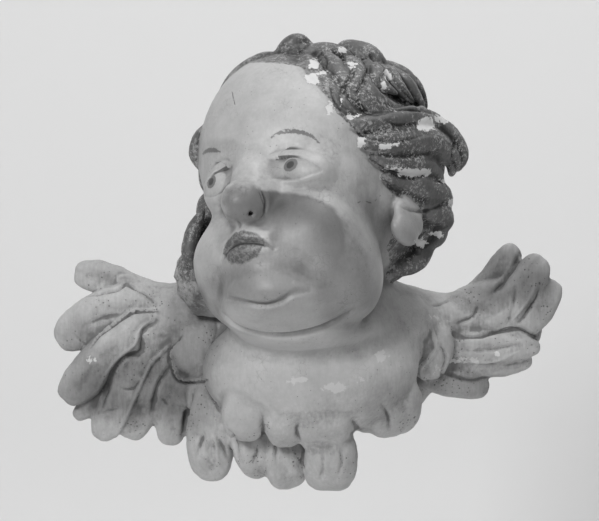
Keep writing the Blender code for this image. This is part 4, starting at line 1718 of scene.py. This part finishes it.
class Effects:
    """The wear and age that the finishes share, each built once as a node group."""

    def __init__(self) -> None:
        """Builds the groups."""
        self.mottle = self.make_mottle()
        self.pits = self.make_pits()
        self.ragged = self.make_ragged()
        self.crackle = self.make_crackle()
        self.grime = self.make_grime()

    def use(self, bench: Bench, tree: bpy.types.NodeTree, inputs: dict[str, Any]) -> bpy.types.Node:
        """Places a group in a material, with these values and sockets for its inputs."""
        return bench.put("ShaderNodeGroup", inputs, node_tree=tree)

    def make_mottle(self) -> bpy.types.NodeTree:
        """Uneven tone at three sizes, about 1.

        Returns:
            The group.
        """
        tree, b, given, result = group("mottle", {"Scale": 1.0, "Contrast": 0.3}, ["Value"])
        where = given.outputs["Place"]
        total = None
        for size, share in ((26.0, 0.45), (95.0, 0.35), (420.0, 0.2)):
            layer = b.noise(where, b.times(given.outputs["Scale"], size), 3.0, 0.6)
            layer = b.times(b.math("SUBTRACT", layer, 0.5), share * 3.2)
            total = layer if total is None else b.math("ADD", total, layer)
        value = b.math("MULTIPLY_ADD", total, given.outputs["Contrast"], 1.0)
        tree.links.new(value, result.inputs["Value"])
        return tree

    def make_pits(self) -> bpy.types.NodeTree:
        """Small dark holes and specks, thick in some places and absent in others.

        Returns:
            The group.
        """
        tree, b, given, result = group("pits", {"Scale": 400.0, "Size": 0.3, "Cover": 0.5}, ["Mask"])
        where = given.outputs["Place"]
        cells = b.put("ShaderNodeTexVoronoi", {"Vector": where, "Scale": given.outputs["Scale"]})
        place = {"Vector": cells.outputs["Position"]}
        chosen = b.put("ShaderNodeTexWhiteNoise", place, noise_dimensions="3D")
        cover = b.noise(where, b.times(given.outputs["Scale"], 0.09), 3.0)
        limit = b.times(b.step(cover, 0.42, 0.68), given.outputs["Cover"])
        kept = b.math("LESS_THAN", chosen.outputs["Value"], limit)
        size = b.times(given.outputs["Size"], b.math("ADD", chosen.outputs["Value"], 0.6))
        dot = b.step(cells.outputs["Distance"], b.times(size, 0.55), size, 1.0, 0.0)
        tree.links.new(b.times(dot, kept), result.inputs["Mask"])
        return tree

    def make_ragged(self) -> bpy.types.NodeTree:
        """A mask with a broken edge, from a distance field in millimetres.

        Returns:
            The group.
        """
        inputs = {"Field": 0.0, "Break": 1.0, "Scale": 300.0, "Soft": 0.25}
        tree, b, given, result = group("ragged_edge", inputs, ["Mask"])
        wave = b.noise(given.outputs["Place"], given.outputs["Scale"], 4.0, 0.62)
        push = b.times(b.math("SUBTRACT", wave, 0.5), b.times(given.outputs["Break"], 2.0))
        value = b.math("ADD", given.outputs["Field"], push)
        share = b.math("DIVIDE", value, given.outputs["Soft"])
        tree.links.new(b.step(share, -1.0, 1.0), result.inputs["Mask"])
        return tree

    def make_crackle(self) -> bpy.types.NodeTree:
        """Fine age cracks that come and go.

        Returns:
            The group.
        """
        tree, b, given, result = group("crackle", {"Scale": 170.0, "Width": 0.04, "Cover": 0.5}, ["Mask"])
        where = given.outputs["Place"]
        wander = b.put("ShaderNodeTexNoise", {"Vector": where, "Scale": 220.0, "Detail": 3.0})
        push = {0: wander.outputs["Color"], 1: (0.006, 0.006, 0.006), 2: where}
        bent = b.put("ShaderNodeVectorMath", push, operation="MULTIPLY_ADD").outputs[0]
        inputs = {"Vector": bent, "Scale": given.outputs["Scale"]}
        cells = b.put("ShaderNodeTexVoronoi", inputs, feature="DISTANCE_TO_EDGE")
        inputs = {0: cells.outputs["Distance"], 1: 0.0, 2: given.outputs["Width"], 3: 1.0, 4: 0.0}
        line = b.put("ShaderNodeMapRange", inputs).outputs[0]
        cover = b.noise(where, 32.0, 3.0)
        shown = b.step(b.math("ADD", cover, given.outputs["Cover"]), 1.0, 1.14)
        tree.links.new(b.times(line, shown), result.inputs["Mask"])
        return tree

    def make_grime(self) -> bpy.types.NodeTree:
        """Dirt in the hollows and rubbing on the ridges, from the relief fields in millimetres.

        Returns:
            The group.
        """
        inputs = {"Fine": 0.0, "Broad": 0.0, "Reach": 1.0}
        tree, b, given, result = group("grime", inputs, ["Dirt", "Rubbed"])
        where = given.outputs["Place"]
        wave = b.math("SUBTRACT", b.noise(where, 150.0, 4.0, 0.6), 0.5)
        fine = b.math("MULTIPLY_ADD", given.outputs["Broad"], 0.35, given.outputs["Fine"])
        level = b.math("DIVIDE", b.math("ADD", fine, b.times(wave, 0.5)), given.outputs["Reach"])
        tree.links.new(b.step(level, -0.06, -0.75), result.inputs["Dirt"])
        tree.links.new(b.step(level, 0.12, 0.55), result.inputs["Rubbed"])
        return tree


@dataclass(frozen=True)
class Paint:
    """One old paint: its tone, how uneven it is, its gloss, and how dirt and rubbing show on it."""

    tone: float
    contrast: float
    rough: float
    dirt: float
    dirt_share: float
    rubbed: float
    rubbed_share: float
    pit_cover: float
    pit_scale: float
    reach: float
    grain: float

    def lay(
        self, b: Bench, effects: Effects, where: Socket, relief: tuple[Socket, Socket]
    ) -> tuple[Socket, Socket]:
        """Lays the paint's tone and height.

        Args:
            b: The material's bench.
            effects: The shared effects.
            where: Places on the piece.
            relief: The fine and broad relief fields.

        Returns:
            The tone and the mask of its pits.
        """
        mottle = effects.use(b, effects.mottle, {"Place": where, "Contrast": self.contrast})
        tone = b.times(mottle.outputs["Value"], self.tone)
        streaks = b.noise(b.stretched(where, (1.0, 1.0, 0.16), (0.0, 0.5, 0.3)), 520.0, 3.0, 0.6)
        tone = b.times(tone, b.step(streaks, 0.2, 0.8, 1 - self.grain, 1 + self.grain))
        inputs = {"Place": where, "Fine": relief[0], "Broad": relief[1], "Reach": self.reach}
        grime = effects.use(b, effects.grime, inputs)
        tone = b.mix(b.times(grime.outputs["Rubbed"], self.rubbed_share), tone, self.rubbed)
        tone = b.mix(b.times(grime.outputs["Dirt"], self.dirt_share), tone, self.dirt)
        inputs = {"Place": where, "Scale": self.pit_scale, "Cover": self.pit_cover}
        pits = effects.use(b, effects.pits, inputs).outputs["Mask"]
        return b.mix(b.times(pits, 0.75), tone, self.dirt), pits


FLESH = Paint(0.375, 0.42, 0.42, 0.10, 0.6, 0.55, 0.3, 0.2, 480.0, 1.3, 0.05)
HAIR = Paint(0.055, 1.5, 0.42, 0.012, 0.85, 0.17, 0.35, 0.25, 420.0, 1.1, 0.4)
FEATHER = Paint(0.345, 0.75, 0.6, 0.07, 0.66, 0.5, 0.4, 0.75, 430.0, 1.4, 0.15)


@dataclass(frozen=True)
class PaintedCarving:
    """The whole painted surface in one material, because its paints meet on the same skin."""

    name: str = "aged_painted_carving"
    lips: float = 0.10
    brow: float = 0.15
    iris: float = 0.17
    pupil: float = 0.07
    # Tone share of the blush, which is partly painted shade of nose, cheek and jaw.
    blush_and_shade: float = 0.4
    gesso: float = 0.62
    repair: float = 0.54
    wood: float = 0.11
    # Tone of the dark lid and mouth lines: paint, and painted shade in the lid crease and the mouth's
    # opening.
    line_paint_and_shade: float = 0.035
    crack: float = 0.06
    worn_hair: float = 0.26
    fleck: float = 0.34
    gesso_rough: float = 0.85
    wood_rough: float = 0.82

    def make(self, effects: Effects) -> bpy.types.Material:
        """Builds the material.

        Args:
            effects: The shared effects.

        Returns:
            The material.
        """
        made = bpy.data.materials.new(self.name)
        made.use_nodes = True
        b = Bench(made.node_tree)
        shader = made.node_tree.nodes["Principled BSDF"]
        where = b.put("ShaderNodeTexCoord").outputs["Object"]
        relief = (b.field("relief_fine"), b.field("relief_broad"))
        flesh, flesh_pits = FLESH.lay(b, effects, where, relief)
        hair, hair_pits = HAIR.lay(b, effects, where, relief)
        feather, feather_pits = FEATHER.lay(b, effects, where, relief)

        def ragged(field_name: str, broken: float, scale: float, soft: float, shift: float = 0.0) -> Socket:
            """A broken-edged mask of one of the mesh's fields.

            Args:
                field_name: The field.
                broken: How far the edge wanders to each side, in millimetres.
                scale: How fine its breaks are.
                soft: Half the width of its fade, in millimetres.
                shift: What is added to the field first.

            Returns:
                The mask.
            """
            value = b.field(field_name)
            if shift:
                value = b.math("ADD", value, shift)
            inputs = {"Place": where, "Field": value, "Break": broken, "Scale": scale, "Soft": soft}
            return effects.use(b, effects.ragged, inputs).outputs["Mask"]

        # Blush darkens nose and cheek; part of it is painted shade, the nose's shadow on the cheek and the
        # darker lower cheek and jaw.
        in_blush_and_shade = b.times(ragged("blush_and_shade", 1.6, 110.0, 1.6), b.step(b.field("blush_and_shade_top"), 66.0, 7.0))
        flesh = b.times(flesh, b.mix(in_blush_and_shade, 1.0, self.blush_and_shade))
        flesh = b.mix(ragged("brows", 1.3, 700.0, 0.5), flesh, self.brow)
        worn_lip = b.mix(b.step(b.noise(where, 380.0, 4.0, 0.7), 0.4, 0.62), self.lips, self.lips * 2.2)
        flesh = b.mix(ragged("lips", 2.2, 240.0, 1.0), flesh, worn_lip)
        flesh = b.mix(ragged("iris", 0.6, 500.0, 0.35), flesh, self.iris)
        flesh = b.mix(ragged("pupil", 0.5, 500.0, 0.35), flesh, self.pupil)
        # Dark lines along the lids and between the lips: paint, and painted shade in the lid crease, under
        # the upper lid and in the mouth's opening.
        dark = b.times(b.step(b.math("ABSOLUTE", b.field("dark_side")), 1.1, 0.3),
                      b.step(b.field("dark_near"), 6.5, 1.0))
        flesh = b.mix(b.times(dark, 0.8), flesh, self.line_paint_and_shade)
        crackle = effects.use(b, effects.crackle, {"Place": where}).outputs["Mask"]
        flesh = b.times(flesh, b.mix(crackle, 1.0, 0.8))

        # Soot ovals darken feathers and flesh: old dirt, and painted shade under chin and jaw, beside the
        # nose, between head and wing, and on the shoulder.
        clear_of_soot_and_shade = b.math("SUBTRACT", 1.0, b.field("soot_and_shade"))
        feather = b.times(feather, clear_of_soot_and_shade)
        flesh = b.times(flesh, clear_of_soot_and_shade)
        on_flesh = ragged("flesh", 3.0, 110.0, 3.5)
        on_hair = ragged("hair", 1.6, 260.0, 0.5)
        tone = b.mix(on_flesh, feather, flesh)
        flecks = b.step(b.noise(where, 420.0, 5.0, 0.8), 0.525, 0.56)
        flecks = b.times(flecks, b.step(b.noise(where, 60.0, 3.0), 0.4, 0.54))
        worn = b.step(b.field("hair"), 7.0, 0.8)
        worn = b.times(worn, b.step(b.noise(where, 240.0, 4.0, 0.7), 0.42, 0.6))
        hair = b.mix(worn, hair, self.worn_hair)
        hair = b.mix(b.times(flecks, 0.85), hair, self.fleck)
        tone = b.mix(on_hair, tone, hair)
        rough = b.mix(on_flesh, FEATHER.rough, FLESH.rough)
        rough = b.mix(on_hair, rough, HAIR.rough)

        repair = ragged("repairs", 9.0, 150.0, 0.4, -0.6)
        tone = b.mix(b.times(repair, 0.8), tone, self.repair)
        chip = ragged("chips", 5.0, 190.0, 0.25)
        gesso = b.times(effects.use(b, effects.mottle, {"Place": where, "Contrast": 0.15}).outputs[0],
                       self.gesso)
        tone = b.mix(chip, tone, gesso)
        rough = b.mix(chip, rough, self.gesso_rough)
        line = b.times(b.step(b.math("ABSOLUTE", b.field("crack_side")), 0.55, 0.2),
                      b.step(b.field("crack_near"), 1.1, 0.7))
        tone = b.mix(b.times(line, 0.6), tone, self.crack)

        back = b.step(b.put("ShaderNodeSeparateXYZ", {0: where}).outputs["Y"], -0.004, -0.0015)
        grain = b.noise(b.stretched(where, (1.0, 1.0, 0.06)), 320.0, 5.0, 0.6)
        rings = b.noise(b.stretched(where, (1.0, 1.0, 0.12)), 70.0, 2.0, 0.5)
        wood = b.times(b.step(grain, 0.25, 0.75, 0.6, 1.3), b.step(rings, 0.3, 0.7, 0.8, 1.25))
        tone = b.mix(back, tone, b.times(wood, self.wood))
        rough = b.mix(back, rough, self.wood_rough)

        fine = b.noise(where, 900.0, 4.0, 0.6)
        brush = b.noise(b.stretched(where, (1.0, 1.0, 0.2), (0.0, 0.4, 0.2)), 260.0, 4.0, 0.6)
        height = b.math("MULTIPLY_ADD", brush, 0.5, b.times(fine, 0.35))
        pits = b.mix(on_hair, b.mix(on_flesh, feather_pits, b.times(flesh_pits, 0.6)), hair_pits)
        for mask, depth in ((pits, 1.6), (chip, 0.9), (line, 1.2), (crackle, 0.5)):
            height = b.math("SUBTRACT", height, b.times(mask, depth))
        bump = b.put("ShaderNodeBump", {"Strength": 0.7, "Distance": 0.0004, "Height": height})
        colour = b.put("ShaderNodeCombineColor", {0: tone, 1: tone, 2: tone})
        links = made.node_tree.links
        links.new(colour.outputs[0], shader.inputs["Base Color"])
        links.new(rough, shader.inputs["Roughness"])
        links.new(bump.outputs[0], shader.inputs["Normal"])
        shader.inputs["Specular IOR Level"].default_value = 0.4
        return made


@dataclass(frozen=True)
class Studio:
    """A pale sweep, soft lamps and the camera."""

    backdrop_tone: float = 0.78
    wall: float = 0.9
    floor: float = -0.62
    half_width: float = 3.2
    depth: float = 3.4
    height: float = 3.4
    world: float = 0.17
    clip: tuple[float, float] = (0.1, 30)
    lamps: tuple[Row, ...] = (
        ((-0.92, -2.08, 0.87), (0, -0.08, 0.05), 0.5, 34),
        ((1.5, -1.3, 0.1), (0, -0.08, 0.05), 1.2, 0.5),
        ((0.6, -0.3, 2.3), (0.2, 0.9, 0.4), 1.6, 37),
    )

    def sweep(self) -> None:
        """Makes floor and backdrop as one bent sheet."""
        bpy.ops.mesh.primitive_plane_add(size=2, location=(0, self.wall - self.depth / 2, self.floor))
        made = bpy.context.object
        made.name = "backdrop_sweep"
        made.scale = (self.half_width, self.depth / 2, 1)
        bpy.ops.object.transform_apply(location=True, rotation=False, scale=True)
        bpy.ops.object.mode_set(mode="EDIT")
        bpy.ops.mesh.select_all(action="DESELECT")
        bpy.ops.object.mode_set(mode="OBJECT")
        for edge in made.data.edges:
            edge.select = all(made.data.vertices[v].co.y > self.wall - 0.01 for v in edge.vertices)
        bpy.ops.object.mode_set(mode="EDIT")
        bpy.ops.mesh.select_mode(type="EDGE")
        bpy.ops.mesh.extrude_region_move(TRANSFORM_OT_translate={"value": (0, 0, self.height)})
        bpy.ops.object.mode_set(mode="OBJECT")
        for edge in made.data.edges:
            ends = [made.data.vertices[v].co for v in edge.vertices]
            edge.select = all(p.y > self.wall - 0.01 and p.z < self.floor + 0.01 for p in ends)
        bpy.ops.object.mode_set(mode="EDIT")
        bpy.ops.mesh.bevel(offset=0.5, segments=16)
        bpy.ops.mesh.select_all(action="SELECT")
        bpy.ops.mesh.normals_make_consistent(inside=False)
        bpy.ops.object.mode_set(mode="OBJECT")
        if sum(face.normal.z for face in made.data.polygons) < 0:
            bpy.ops.object.mode_set(mode="EDIT")
            bpy.ops.mesh.flip_normals()
            bpy.ops.object.mode_set(mode="OBJECT")
        made.data.shade_smooth()
        made.data.materials.append(self.paper())

    def paper(self) -> bpy.types.Material:
        """The sweep's paper, which isn't there when it is seen from behind.

        Returns:
            The material.
        """
        made = bpy.data.materials.new("backdrop_paper")
        made.use_nodes = True
        b = Bench(made.node_tree)
        shader = made.node_tree.nodes["Principled BSDF"]
        shader.inputs["Base Color"].default_value = (self.backdrop_tone,) * 3 + (1,)
        shader.inputs["Roughness"].default_value = 0.9
        behind = b.put("ShaderNodeNewGeometry").outputs["Backfacing"]
        clear = b.put("ShaderNodeBsdfTransparent").outputs[0]
        seen = b.put("ShaderNodeMixShader", {0: behind, 1: shader.outputs[0], 2: clear}).outputs[0]
        made.node_tree.links.new(seen, made.node_tree.nodes["Material Output"].inputs["Surface"])
        return made

    def lamp(self, place: Place, aim: Place, size: float, watts: float) -> None:
        """A soft square lamp that points at a place.

        Args:
            place: Where it stands, in metres.
            aim: What it points at, in metres.
            size: Its side, in metres.
            watts: Its power.
        """
        bpy.ops.object.light_add(type="AREA", location=place)
        made = bpy.context.object
        made.data.shape = "SQUARE"
        made.data.size = size
        made.data.energy = watts
        made.rotation_mode = "QUATERNION"
        made.rotation_quaternion = (Vector(aim) - Vector(place)).to_track_quat("-Z", "Y")

    def build(self) -> None:
        """Sets the sweep, the lamps, the air's light and the camera."""
        self.sweep()
        for lamp in self.lamps:
            self.lamp(*lamp)
        bpy.context.scene.view_settings.view_transform = "Standard"
        world = bpy.data.worlds.new("studio_air")
        bpy.context.scene.world = world
        world.use_nodes = True
        air = world.node_tree.nodes["Background"]
        air.inputs["Color"].default_value = (1, 1, 1, 1)
        air.inputs["Strength"].default_value = self.world
        bpy.ops.object.camera_add(location=tuple(VIEW.eye() * MM), rotation=(math.pi / 2, 0, 0))
        camera = bpy.context.object
        camera.data.lens = VIEW.lens
        camera.data.sensor_width = VIEW.sensor
        camera.data.clip_start, camera.data.clip_end = self.clip
        bpy.context.scene.camera = camera


def main() -> None:
    """Builds the carving and the studio, in order."""
    logging.basicConfig(level=logging.INFO, format="%(message)s")
    bpy.ops.object.select_all(action="DESELECT")
    carving = Plaque().build()
    carving.data.materials.clear()
    carving.data.materials.append(PaintedCarving().make(Effects()))
    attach(carving, "root")
    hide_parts(NODE)
    LOG.info("%s: %d triangles", carving.name, len(carving.data.polygons))
    Studio().build()
    LOG.info("studio set")


if __name__ == "__main__":
    main()
